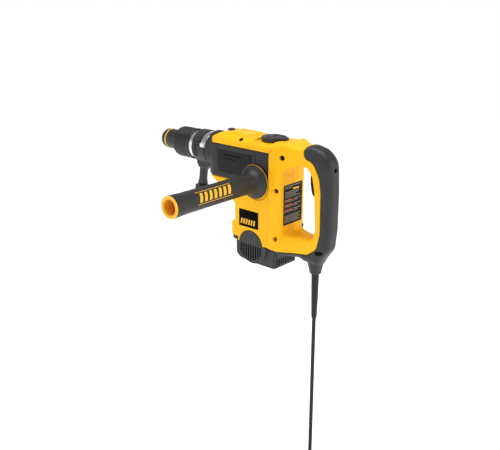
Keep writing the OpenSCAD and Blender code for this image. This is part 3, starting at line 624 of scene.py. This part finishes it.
case = less(case, np.maximum(g.rod_z(KNOB_X, 0, 6.6), g.slab(2, 12, 60)))
case = less(case, np.maximum(g.rod_z(-42, 0, 11), g.slab(2, -42, -37)))
for sign in (-1, 1):
    case = less(case, np.maximum(g.rod_y(0, SIDE_Z, 7.0), 28 - sign * g.Y), 0.4)
g.solid("gear_case_casting", case, painted, slot="grey_paint", nodes=["gear_case"])


def bars_on_side(name, rows, y, thick, material, slot="plate_black"):
    """Flat raised bars on a side face. Each row is (x, z, length, height, lean)."""
    shapes = []
    for x, z, length, height, lean in rows:
        outline = [(x, z), (x + length, z), (x + length + lean, z + height), (x + lean, z + height)]
        shapes.append(prism(outline, (0, y, 0), (0, math.copysign(thick, y), 0), (1, 0, 0), (0, 0, 1)))
    points, faces = joined(*shapes)
    piece(name, points, faces, material, slot=slot, crease=20)


# Two rows of plain bars on a dark inlay in the field on each side
for sign, word in ((-1, "left"), (1, "right")):
    points, faces = prism(rounded([(-102.8, 12, 2.5), (-99, -33, 2.5), (-15, -33, 2.5), (-9.2, 12, 2.5)]),
                  (0, sign * 37.0, 0), (0, sign * 0.35, 0), (1, 0, 0), (0, 0, 1))
    piece("case_inlay_" + word, points, faces, inlay_black, slot="grey_paint", crease=20)
    rows = []
    x = -86.0
    for length in (9, 5, 8, 6, 4, 9, 6):
        rows.append((x, 0.5, length - 1.6, 3.0, 0.8))
        x += length
    x = -86.0
    for length in (5, 5, 5, 8, 4, 6):
        rows.append((x, -7.0, length - 1.4, 2.4, 0.6))
        x += length
    bars_on_side("case_bars_" + word, rows, sign * 37.25, 0.45, print_and_shade_black, slot="black_plastic")


# ---- Top cover ----

g = Grid((-119, -41, 16), (59, 41, 53), 0.8)
section = rounded([(-HALF, 2, 0), (-HALF, 35.5, 9), (-21.5, 43.5, 12), (21.5, 43.5, 12), (HALF, 35.5, 9),
                   (HALF, 2, 0)])
inner = rounded([(-HALF + 3.5, -2, 0), (-HALF + 3.5, 32, 7), (-20, 40, 12), (20, 40, 12), (HALF - 3.5, 32,
        7), (HALF - 3.5, -2, 0)])
profile = rounded([(-116, 22.3, 0), (-116, 34.5, 7), (-105, 42, 12), (-60, 60, 0), (56.7, 60, 0),
                   (56.7, 44.5, 0), (32.7, 22.3, 0)])
cover = both(g.front(section), g.side(profile), 1.5)
raised = both(g.plan(rounded([(-86, -20.5, 6), (-32, -20.5, 6), (-32, 20.5, 6), (-86, 20.5, 6)])),
              g.slab(2, 38, 45.6), 1.2)
cover = either(cover, raised, 2.0)
hollow = np.maximum(g.front(inner), g.side([(-112, 10), (-112, 32), (-103, 37), (-92, 60), (50, 60),
                                            (29, 10)]))
hollow = np.maximum(hollow, -either(np.maximum(g.rod_z(KNOB_X, 0, 25), 30.3 - g.Z), g.box((-16, -45, 34),
        (38, 3, 60))))
cover = less(cover, hollow)
cover = less(cover, np.maximum(g.rod_x(0, 0, 33.4), g.slab(0, -125, -60)))
cover = less(cover, np.maximum(g.rod_x(0, 0, 37.9), g.slab(0, -125, -114.5)))
cover = less(cover, g.rod_z(KNOB_X, 0, 6.4))
cover = less(cover, np.maximum(g.rod_z(KNOB_X, 0, 38.0), g.slab(2, 42.0, 70)), 0.8)
seat = either(np.maximum(g.rod_z(KNOB_X, 0, 23.0), 37 - g.Z), g.box((-13, -60, 37), (35, 0, 70), 3.0), 1.0)
cover = less(cover, seat, 1.0)
for i in range(6):
    cover = less(cover, g.box((-64 + 7 * i, -29, 41.3), (-61 + 7 * i, -22, 52), 0.8), 0.4)
for sign in (-1, 1):
    lean = math.radians(28)
    across = (g.Y - sign * 34) * math.cos(lean) - sign * (g.Z - 38.6) * math.sin(lean)
    deep = sign * (g.Y - sign * 34) * math.sin(lean) + (g.Z - 38.6) * math.cos(lean)
    well = np.maximum(np.hypot(g.X + 42, across) - 5.0, -2.2 - deep)
    cover = less(cover, well, 0.5)
cover = less(cover, np.maximum(g.rod_z(PLUG_X, 0, 6.2), g.slab(2, 36, 60)))
g.solid("top_cover_moulding", cover, yellow, slot="yellow_plastic", nodes=["top_cover"])

# Thin darker amber sheets on the floors of the six slots: painted shade in the slots.
marks = [prism([(-63.4 + 7 * i, -25.8), (-61.6 + 7 * i, -25.8), (-61.6 + 7 * i, -22.6), (-63.4 + 7 * i,
        -22.6)],
               (0, 0, 41.1), (0, 0, 0.4), (1, 0, 0), (0, 1, 0)) for i in range(6)]
points, faces = joined(*marks)
piece("top_cover_slot_shade", points, faces, slot_shade_amber, slot="yellow_plastic", crease=20)

lathe("top_plug_cap", rounded([(39, 0, 0), (39, 6, 0), (43.5, 6, 0), (43.5, 8, 0.6), (45.7, 7.6, 0.8),
                               (46.7, 5.6, 0.6), (46.4, 0, 0)]),
      dark, centre=(PLUG_X, 0, 0), axis=(0, 0, 1), sides=64, slot="dark_plastic", nodes=["top_plug"])


def screw(centre, axis, radius, depth, sides=48):
    """A screw head with a six-lobed recess. The head's face is at centre and looks along axis."""
    def recess(_, r, angle):
        if r > radius * 0.56 or r < 1e-6:
            return r
        return r * (0.84 + 0.16 * math.cos(6 * angle))
    return turned(rounded([
        (-depth, 0, 0), (-depth, radius, 0), (-0.5, radius, 0.4), (0, radius * 0.86, 0.3), (0, radius * 0.5,
                0),
        (-1.8, radius * 0.46, 0), (-1.8, 0, 0)]), centre, axis, sides, recess)


heads = [screw((-42, sign * 33.7, 38.1), (0, sign * math.sin(lean), math.cos(lean)), 4.2,
               1.5) for sign in (-1, 1)]
points, faces = joined(*heads)
piece("cover_screw_heads", points, faces, satin_black, slot="black_plastic", nodes=["cover_screws"],
      crease=30)


# ---- Mode selector ----

g = Grid((-14, -24, 13), (49, 24, 55), 0.7)
base = both(g.rod_z(KNOB_X, 0, 22), g.slab(2, 37.3, 46.3), 1.5)
lever = both(g.plan(rounded([(4, -16, 6), (30, -15, 14), (47, -3.5, 3), (47, 3.5, 3), (30, 15, 14),
                             (4, 16, 6)])),
             g.slab(2, 42.3, 48.3), 2.0)
knob = either(base, lever, 2.0)
knob = either(knob, both(g.rod_z(KNOB_X, 0, 6), g.slab(2, 14, 44)), 0.5)
knob = less(knob, both(g.plan(rounded([(14, -9, 4), (30, -8, 6), (40, -2.5, 1.5), (40, 2.5, 1.5),
                                       (30, 8, 6), (14, 9, 4)])), g.slab(2, 47.2, 60), 0.6), 0.4)
g.solid("mode_selector_moulding", knob, dark, body="selector", slot="dark_plastic", nodes=["mode_selector"])


# ---- Motor housing ----

g = Grid((-127, -41, -169.5), (35, 41, -43), 0.85)
housing_side = rounded([
    (-124, -45.3, 0), (-56, -92, 9), (-56, -127, 3), (-65, -131, 4), (-65, -157, 3), (-63, -159.5, 1),
    (18, -168, 0), (32.7, -168, 0), (32.7, -45.3, 0)])
motor = both(g.side(housing_side), both(g.plan(rounded([
    (-126, -38.5, 4), (-62, -38.5, 6), (-56, -HALF, 6), (50, -HALF, 0), (50, HALF, 0), (-56, HALF, 6),
    (-62, 38.5, 6),
    (-126, 38.5, 4)])), g.slab(2, -200, 0)), 3.2)
motor = np.maximum(motor, g.X - 32.7)
for sign in (-1, 1):
    wall = HALF - sign * g.Y
    # Lower panel edge that the boss's arch stands in, and the sunk round seat of the side handle
    motor = less(motor, np.maximum(g.side(rounded([(-54, -140, 8), (-54, -176, 0), (27, -176, 0),
            (27, -140, 8)])), wall - 0.7), 0.6)
    motor = less(motor, np.maximum(g.rod_y(0, SIDE_Z, 37), wall - 2.5), 0.8)
    motor = less(motor, np.maximum(g.side(rounded([(-43.2, -135.2, 1.4), (7.2, -135.2, 1.4), (7.2, -99.8,
            1.4), (-43.2, -99.8, 1.4)])), wall - 0.55), 0.2)
motor = either(motor, both(both(g.rod_y(*BOSS, 34.5), g.slab(1, -38.9, 38.9), 1.0), g.slab(2, -168, -100),
                           0.5), 1.0)
motor = less(motor, both(g.rod_z(MOTOR_X, 0, 34), g.slab(2, -190, -64)))
motor = less(motor, np.maximum(g.rod_z(MOTOR_X, 0, 13), g.slab(2, -70, -50)))
motor = less(motor, np.maximum(g.rod_z(MOTOR_X, 0, 9), g.slab(2, -60, -40)))
motor = less(motor, np.maximum(g.side([(-106, -50), (-52, -87), (-45, -87), (-45, -50)]), g.slab(1, -33,
        33)))
motor = less(motor, g.rod_y(*BOSS, 30.4), 0.4)
g.solid("motor_housing_moulding", motor, yellow, slot="yellow_plastic", nodes=["motor_housing"])

# Nameplates with plain slanted bars
for sign, word in ((-1, "left"), (1, "right")):
    points, faces = prism(rounded([(-42.8, -134.8, 1), (6.8, -134.8, 1), (6.8, -100.2, 1), (-42.8, -100.2,
            1)]),
                  (0, sign * 38.5, 0), (0, sign * 0.75, 0), (1, 0, 0), (0, 0, 1))
    piece("nameplate_" + word, points, faces, plate_black, slot="plate_black", crease=20,
                  nodes=["nameplates"] if sign < 0 else [])
    rows = [(-39 + 6.6 * i, -129.5, 3.8, 11, 2.2) for i in range(6)]
    bars_on_side("nameplate_bars_" + word, rows, sign * 39.2, 0.12, print_yellow)


# ---- Motor cap ----

g = Grid((-66.5, -43, -212), (50, 43, -139), 0.8)
cap_side = rounded([
    (-64.5, -150, 0), (-64, -166.5, 2), (-60, -168.8, 2.5), (-59, -196, 9), (-46, -206, 13),
    (-18, -210, 12),
    (47, -210, 4), (48, -150, 0)])
body = g.plan(rounded([(-60.5, -34.5, 10), (48, -34.5, 9), (48, 34.5, 9), (-60.5, 34.5, 10)]))
lip = both(g.plan(rounded([(-64.5, -37.5, 6), (-40, -37.5, 0), (-40, 37.5, 0), (-64.5, 37.5, 6)])),
           g.slab(2, -168.3, -140), 1.0)
cap = both(g.side(cap_side), either(body, lip, 2.0), 2.4)
cap = np.maximum(cap, np.minimum(g.Z + 168.3, g.Z + 160 + 0.104 * (g.X + 62)))
low_boss = np.maximum(g.rod_y(*LOW_BOSS, 36.5), g.Z + 168.3)
boss = both(either(g.rod_y(*BOSS, 30), low_boss, 1.0), g.slab(1, -40.5, 40.5), 2.2)
cap = either(cap, boss, 1.2)
rim = both(either(g.rod_y(*BOSS, 27.5), np.maximum(g.rod_y(*LOW_BOSS, 33.5), g.Z + 170)),
           np.minimum(g.slab(1, -60, -39.6), g.slab(1, 39.6, 60)))
cap = less(cap, rim, 0.4)
cap = less(cap, np.maximum(g.rod_z(MOTOR_X, 0, 33), g.slab(2, -198, -130)))
cap = less(cap, np.maximum(g.rod_z(MOTOR_X, 0, 34.5), g.slab(2, -168.3, -100)))
cap = less(cap, np.maximum(g.rod_z(MOTOR_X, 0, 11), g.slab(2, -207, -190)))
for i in range(9):
    dx = (i - 4) * 6.2
    reach = math.sqrt(31 * 31 - dx * dx)
    cap = less(cap, g.box((-12 + dx - 1.6, -60, -171 - reach), (-12 + dx + 1.6, 60, -170), 1.2), 0.5)
for i in range(-4, 5):
    cap = less(cap, g.box((38, i * 6.6 - 1.5, -204), (60, i * 6.6 + 1.5, -190), 1.2), 0.4)
cap_screws = [(x, y) for x in (-41, 28) for y in (-28, 28)]
for x, y in cap_screws:
    cap = less(cap, np.maximum(g.rod_z(x, y, 2.3), g.slab(2, -230, -150)))
    cap = less(cap, np.maximum(g.rod_z(x, y, 4.2), g.slab(2, -230, -190)), 0.4)
g.solid("motor_cap_moulding", cap, dark, slot="dark_plastic", nodes=["motor_cap"])

heads = [screw((x, y, -194.2), (0, 0, -1), 3.8, 4) for x, y in cap_screws]
heads += [turned([(-33, 0), (-33, 2.1), (-4, 2.1), (-4, 0)], (x, y, -194.2), (0, 0, -1), 24) for x,
          y in cap_screws]
points, faces = joined(*heads)
piece("cap_screw_set", points, faces, zinc, slot="steel", nodes=["cap_screws"], crease=30)


# ---- Rear handle ----

outer = rounded([
    (20, 22, 0), (33, 22, 0), (56, 43.8, 10), (67, 45.3, 12), (91, 41, 24), (112, 44, 24), (137, 38.5, 30),
    (158, 20, 34),
    (161, -40, 60), (161, -112, 60), (157, -150, 24), (142, -171, 9), (135, -184, 5), (102, -184, 8),
    (94, -178.5, 20),
    (56, -176, 10), (48, -168, 6), (20, -168, 0)])
window = rounded([
    (61, -9, 10), (84, 3, 14), (106, 3, 14), (117, -14, 14), (122, -40, 30), (126, -112, 30),
    (122, -134, 14),
    (61, -135, 6)])
yellow_line = rounded([
    (0, 70, 0), (105, 70, 0), (104.5, 46, 6), (101, 36, 8), (102.5, 21, 10), (121, 14.5, 24),
    (136, -12, 34),
    (140, -40, 30), (141, -118, 30), (133.5, -150, 22), (112, -166, 18), (52, -169, 8), (0, -169, 0)])

g = Grid((31, -41, -209), (163.5, 41, 52), 0.85)
profile = g.side(outer)
hole = g.side(window)
top_x = (33, 46, 54, 62, 84, 98, 108, 118, 170)
top_w = (39, 38.9, 38.2, 36.2, 28.5, 22.8, 20.0, 19, 19)
low_x = (33, 50, 58, 66, 88, 100, 108, 114, 170)
low_w = (39, 38.9, 37.6, 34.2, 24.6, 20.8, 19.4, 19, 19)
wide_top = np.convolve(np.pad(np.interp(g.x, top_x, top_w), 8, "edge"), np.ones(17) / 17, "valid")[:, None,
        None]
wide_low = np.convolve(np.pad(np.interp(g.x, low_x, low_w), 8, "edge"), np.ones(17) / 17, "valid")[:, None,
        None]
wide = wide_low + (wide_top - wide_low) * ease((g.Z + 100) / 80)
edge = 5 + 8.5 * ease((g.X - 52) / 32)
lie = (np.abs(g.Y) - wide) / np.sqrt(1 + 0.35 * ease((g.X - 50) / 15) * ease((120 - g.X) / 15))
loop = both(profile, lie, edge)
loop = both(loop, -hole, 8.0)
block = both(g.side(rounded([(20, 22, 0), (33, 22, 0), (56, 43.8, 10), (61, 38, 4), (61, -170, 6),
                             (48, -168, 6), (20, -168, 0)])),
             g.plan(rounded([(20, -HALF, 0), (61, -HALF, 11), (61, HALF, 11), (20, HALF, 0)])), 3.5)
handle = either(loop, block, 5.0)

# Boss of the lowest side screw, and the wells of all three
side_screws = ((62, 18), (51, -47), (51, -143))
handle = either(handle, both(g.rod_y(*side_screws[2], 8.5), g.slab(1, -40.3, -20), 1.2), 1.6)
handle = np.maximum(handle, 33.3 - g.X)
for x, z in side_screws:
    handle = less(handle, np.maximum(g.rod_y(x, z, 5.0), g.Y + 32.5), 0.7)
    handle = less(handle, np.maximum(g.rod_y(x, z, 2.2), g.Y - 30))
for low, high in (((106, -8.4, -54), (136, 8.4, -7)), ((126, -9.3, -78), (151, 9.3, 0)), ((38, -28, -120),
        (57.5, 28, -2)),
                  ((38, -28, -3), (54, 28, 18)), ((60, -8, 12), (112, 8, 34)), ((128, -8, -160),
                          (148, 8, -77)),
                  ((56, -8, -160), (129, 8, -140)), ((32, -33, -162), (39, 33, 16))):
    handle = less(handle, g.box(low, high))
handle = less(handle, np.maximum(g.rod_z(KNOB_X, 0, 38.0), g.slab(2, 42.0, 70)), 0.6)
border = g.side(yellow_line)
shell = both(handle, border + 0.15, 0.5)
shell = less(shell, g.box((60.9, -28.3, -117.3), (62.5, 28.3, -37.2)))
g.solid("handle_shell_left", both(shell, g.Y + 0.05, 0.25), yellow, slot="yellow_plastic",
        nodes=["handle_left"])
g.solid("handle_shell_right", both(shell, 0.05 - g.Y, 0.25), yellow, slot="yellow_plastic",
        nodes=["handle_right"])

cover = both(handle - 0.45, 0.2 - border, 1.1)
ring = np.hypot(g.X - BOOT_X, g.Y)
collar = np.maximum(ring - np.interp(g.z, (-206, -198, -187, -176), (11.2, 12.8, 15.2, 16.5))[None, None,
        :], g.slab(2, -206, -172))
cover = either(cover, both(collar, -g.Z - 206, 0.8), 4.0)
cover = less(cover, np.maximum(ring - 7.95, g.slab(2, -230, -184)), 0.3)
cover = less(cover, np.maximum(ring - 5, g.slab(2, -190, -150)))
cover = less(cover, np.maximum(g.rod_x(0, 4, 4.2), g.slab(0, 147, 170)), 0.8)
slot_field = g.side(rounded([(131, -162, 3.9), (148, -158.5, 3.9), (148, -150.5, 3.9), (131, -154, 3.9)]))
cover = less(cover, np.maximum(slot_field, g.Y + 15.5), 0.8)
cover = both(cover, 0.2 - border)
g.solid("grip_rubber_cover", cover, rubber, slot="black_rubber", nodes=["grip_overmould"])

# A near-black sheet on the floor of the oval slot under the grip: painted shade in the recess.
points, faces = prism(rounded([(131.2, -161.8, 3.7), (147.8, -158.3, 3.7), (147.8, -150.7, 3.7),
                               (131.2, -154.2, 3.7)]),
              (0, -15.4, 0), (0, -0.35, 0), (1, 0, 0), (0, 0, 1))
piece("grip_slot_painted_shade", points, faces, print_and_shade_black, slot="black_rubber", crease=30)

heads = [screw((x, -34.4, z), (0, -1, 0), 4.6, 2.2, 64) for x, z in side_screws]
heads += [turned([(-62, 0), (-62, 2.1), (0, 2.1), (0, 0)], (x, -36, z), (0, -1, 0), 24) for x,
          z in side_screws]
points, faces = joined(*heads)
piece("handle_screw_set", points, faces, satin_black, slot="black_plastic", nodes=["handle_screws"],
      crease=30)
points, faces = screw((61.4, 33.6, -130.5), (0.94, 0.34, 0), 4.4, 3.4, 48)
piece("rear_face_screw", points, faces, satin_black, slot="black_plastic", crease=30)

# Rating plate with plain printed rows
points, faces = prism(rounded([(-28, -117, 2), (28, -117, 2), (28, -37.5, 2), (-28, -37.5, 2)]),
                      (61.1, 0, 0), (0.5, 0, 0), (0, 1, 0), (0, 0, 1))
piece("rating_plate_foil", points, faces, label_foil, slot="plate_black", nodes=["rating_plate"], crease=20)


def rows_on_plate(name, rows, material):
    shapes = [prism([(y, z), (y + length, z), (y + length, z + height), (y, z + height)], (61.58, 0, 0),
                    (0.08, 0, 0), (0, 1, 0), (0, 0, 1))
              for y, z, length, height in rows]
    points, faces = joined(*shapes)
    piece(name, points, faces, material, slot="plate_black", crease=20)


grey_rows = [(-25, -41.5, 48, 1.6), (-25, -45, 22, 1.6)]
grey_rows += [(-25 + (i % 2) * 2, -53 - 3.3 * i, 44 - 5 * (i % 3), 1.5) for i in range(4)]
for start in (-68.5, -78.5, -88.5):
    grey_rows += [(2, start, 22, 1.5), (-25, start - 3.3, 40, 1.5)]
grey_rows += [(-25, -100 - 3.2 * i, 48 - 6 * (i % 2), 1.5) for i in range(5)]
rows_on_plate("rating_rows_grey", grey_rows, print_grey)
rows_on_plate("rating_rows_orange", [(-25, z, 23, 2.4) for z in (-69, -79, -89)], print_orange)
rows_on_plate("rating_bar_yellow", [(0, -49.5, 18, 3.2)], print_yellow)


# ---- Trigger ----

g = Grid((104, -10, -56), (129, 10, -5), 0.6)
lever = both(g.side(rounded([(107, -12, 6), (107.5, -30, 14), (109.5, -40, 10), (111.5, -48, 5),
                             (117, -53, 3), (126, -53, 0), (126, -8, 0), (113, -8, 4)])),
             g.slab(1, -8, 8), 3.0)
g.solid("trigger_moulding", lever, satin_black, body="trigger_body", slot="black_plastic",
        nodes=["trigger"])


# ---- Side handle, turned about the y axis at x = 0 ----

def side_turned(name, profile, material, slot="yellow_plastic", nodes=()):
    lathe(name, profile, material, centre=(0, 0, SIDE_Z), axis=(0, 1, 0), sides=128, body="side_handle",
          slot=slot,
          nodes=nodes)


side_turned("side_grip_rubber", rounded([
    (-43.4, 8, 0), (-43.4, 32.6, 0.4), (-44.4, 33, 0.5), (-46, 32.8, 1), (-50.5, 26.5, 12), (-58, 21.6, 14),
    (-72, 19.6, 40), (-140, 19.4, 200),
    (-230, 19.8, 80), (-256, 20.9, 12), (-259.8, 21, 0.5), (-260, 17.3, 0), (-55.2, 17.3, 0),
    (-55.2, 8, 0)]), rubber, slot="black_rubber", nodes=["side_grip"])
side_turned("side_handle_ring", rounded([
    (-260, 14.6, 0), (-260, 20.6, 0.6), (-261.2, 21, 0.9), (-263, 19.8, 1.2), (-263.2, 16.4, 1.2),
    (-261.5, 14.6, 0.8)]), core_yellow)
side_turned("side_handle_core", rounded([
    (-42, 7.3, 0), (-42, 33.5, 0.4), (-43.2, 33.5, 0.4), (-43.2, 8, 0), (-55.2, 8, 0), (-55.2, 17.2, 0),
    (-260.4, 17.2, 0),
    (-260.6, 14.7, 0), (-252, 14.2, 2), (-103, 13.4, 4), (-103, 0, 0), (-84, 0, 0), (-84, 7.3, 0)]),
    core_orange_painted_shade, nodes=["side_core"])
side_turned("side_handle_seat_rim", rounded([(-42, 32.4, 0), (-42, 33.6, 0.3), (-43.2, 33.6, 0.3),
                                             (-43.2, 32.4, 0)]), core_yellow)
fins = []
for k in range(4):
    a = math.radians(45 + 90 * k)
    radial, other = np.array((math.cos(a), 0, math.sin(a))), np.array((-math.sin(a), 0, math.cos(a)))
    fins.append(prism([(9.5, -0.7), (13.9, -0.7), (13.9, 0.7), (9.5, 0.7)], (0, -249, SIDE_Z), (0, 144, 0),
                      radial, other))
points, faces = joined(*fins)
piece("side_handle_fins", points, faces, core_orange_painted_shade, body="side_handle", slot="yellow_plastic",
      crease=20)


def on_grip(quads):
    """Raised marks on the side grip. Each is four (y, angle) corners, in mm and degrees from +x towards +z."""
    shapes = []
    for corners in quads:
        n = 10
        points, faces = [], []
        for height in (-0.3, 0.22):
            for i in range(n + 1):
                for j in (0, 1):
                    low = np.array(corners[0 if j == 0 else 3], float)
                    high = np.array(corners[1 if j == 0 else 2], float)
                    y, a = low + (high - low) * i / n
                    r = float(np.interp(-y, (72, 140, 230, 256), (19.6, 19.5, 19.85, 20.7))) + height
                    points.append((r * math.cos(math.radians(a)), y,
                                   SIDE_Z + r * math.sin(math.radians(a))))
        top = 2 * (n + 1)
        for i in range(n):
            a, b, c, d = 2 * i, 2 * i + 1, 2 * i + 3, 2 * i + 2
            faces += [[top + a, top + b, top + c, top + d], [d, c, b, a]]
            faces += [[a, top + a, top + d, d], [c, top + c, top + b, b]]
        faces += [[1, top + 1, top, 0], [2 * n, top + 2 * n, top + 2 * n + 1, 2 * n + 1]]
        shapes.append((points, faces))
    return joined(*shapes)


marks = []
middle = 24.0
for a in (middle - 33, middle + 33):
    marks.append([(-211, a - 1.3), (-211, a + 1.3), (-123, a + 1.3), (-123, a - 1.3)])
for i in range(7):
    y = -207 + 11.9 * i
    marks.append([(y, middle - 24), (y + 4.5, middle + 24), (y + 10.9, middle + 24),
                  (y + 6.4, middle - 24)])
points, faces = on_grip(marks)
piece("side_grip_bars", points, faces, print_yellow, body="side_handle", slot="yellow_plastic", crease=30)


# ---- Cord boot, coil tie and plug ----

lathe("cord_boot_moulding", rounded([
    (-184.6, 3.9, 0), (-184.6, 7.8, 0), (-210, 7.4, 10), (-253, 6.7, 60), (-297, 5.5, 1), (-299.6, 4.9,
            0.6), (-301.6, 4.7, 0.4), (-301.8, 3.9, 0)]),
    cord_black, centre=(BOOT_X, 0, 0), axis=(0, 0, 1), sides=64, slot="cord_rubber", nodes=["cord_boot"])
plug_profile = [(0, 3.9, 0), (0, 5.2, 0.4)]
for i in range(4):
    y = 2.5 + 4.2 * i
    r = 5.4 + 0.5 * i
    plug_profile += [(y, r, 0.3), (y + 0.3, r - 1.0, 0.3), (y + 1.6, r - 0.9, 0.3), (y + 1.9, r + 0.1, 0.3)]
plug_profile += [(21, 7.4, 5), (30, 13.3, 6), (40, 13.0, 12), (47.2, 13.9, 1), (48, 12.8, 0.6), (48, 0, 0),
                 (4, 0, 0), (4, 3.9, 0)]
plug_start = (COIL[0] + 80, COIL[1] + 15, FLOOR + 14)
plug = lathe("mains_plug_moulding", rounded(plug_profile), cord_black, centre=plug_start, axis=(0, 1, 0),
             sides=96,
             slot="cord_rubber", nodes=["plug_body"])

# ---- CAD nodes that keep their shape ----

looks = {
    "sleeve_spring": steel, "locking_rollers": polished, "clamp_bolt": zinc, "switch_body": satin_black,
    "side_stud": zinc,
    "side_washer": zinc, "guide_cylinder": steel, "beat_piece": polished, "striker": polished,
    "piston": steel,
    "wrist_pin": polished, "connecting_rod": steel, "crankshaft": steel, "crank_gear": steel,
    "crank_bearing": polished,
    "pinion": steel, "armature": steel, "commutator": copper, "motor_fan": satin_black, "stator": zinc,
    "brush_holders": satin_black, "carbon_brushes": carbon, "upper_bearing": polished,
    "lower_bearing": polished,
    "cord_tie": satin_black, "plug_pins": polished,
}
for node, material in looks.items():
    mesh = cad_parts[node].data
    mesh.materials.clear()
    mesh.materials.append(material)


# ---- Studio ----

floor_mesh = bpy.data.meshes.new("studio_floor")
size, height = 60.0, row((0, 0, FLOOR))[2] - 0.0002
floor_mesh.from_pydata([(-size, -size, height), (size, -size, height), (size, size, height), (-size, size,
        height)], [], [[0, 1, 2, 3]])
floor = bpy.data.objects.new("studio_floor", floor_mesh)
floor_mesh.materials.append(finish_of("studio_white", linear(250, 250, 250), linear(253, 253, 253), 0.9,
                                      0.03, 60, 0.0,
                                   specular=0.0, glow=0.64))
bpy.context.scene.collection.objects.link(floor)

world = bpy.data.worlds.new("studio")
world.use_nodes = True
sky = world.node_tree
sky.nodes["Background"].inputs["Color"].default_value = (1.0, 1.0, 1.0, 1.0)
# The sky is bright near the horizon and dimmer above
direction = sky.nodes.new("ShaderNodeTexCoord")
height_of = sky.nodes.new("ShaderNodeSeparateXYZ")
level = sky.nodes.new("ShaderNodeMapRange")
for socket, value in (("From Min", 0.15), ("From Max", 0.5), ("To Min", 1.0), ("To Max", 0.3)):
    level.inputs[socket].default_value = value
sky.links.new(direction.outputs["Generated"], height_of.inputs["Vector"])
sky.links.new(height_of.outputs["Z"], level.inputs["Value"])
sky.links.new(level.outputs["Result"], sky.nodes["Background"].inputs["Strength"])
bpy.context.scene.world = world


def softbox(name, where, target, width, depth, power):
    light = bpy.data.lights.new(name, "AREA")
    light.shape = "RECTANGLE"
    light.size, light.size_y, light.energy = width, depth, power
    ob = bpy.data.objects.new(name, light)
    bpy.context.scene.collection.objects.link(ob)
    aim = Vector(where) - Vector(target)
    ob.matrix_world = Matrix.Translation(where) @ aim.to_track_quat("Z", "Y").to_matrix().to_4x4()


softbox("overhead", (-0.2, -0.2, 1.6), (-0.15, 0, 0), 1.6, 1.2, 24)
softbox("rear_right", (1.5, 0.5, 0.7), (-0.1, 0, 0), 0.9, 1.2, 9)
softbox("front_left", (-0.9, -1.7, 0.6), (-0.1, 0, 0), 1.2, 1.2, 3)
bpy.context.scene.view_settings.view_transform = "Standard"
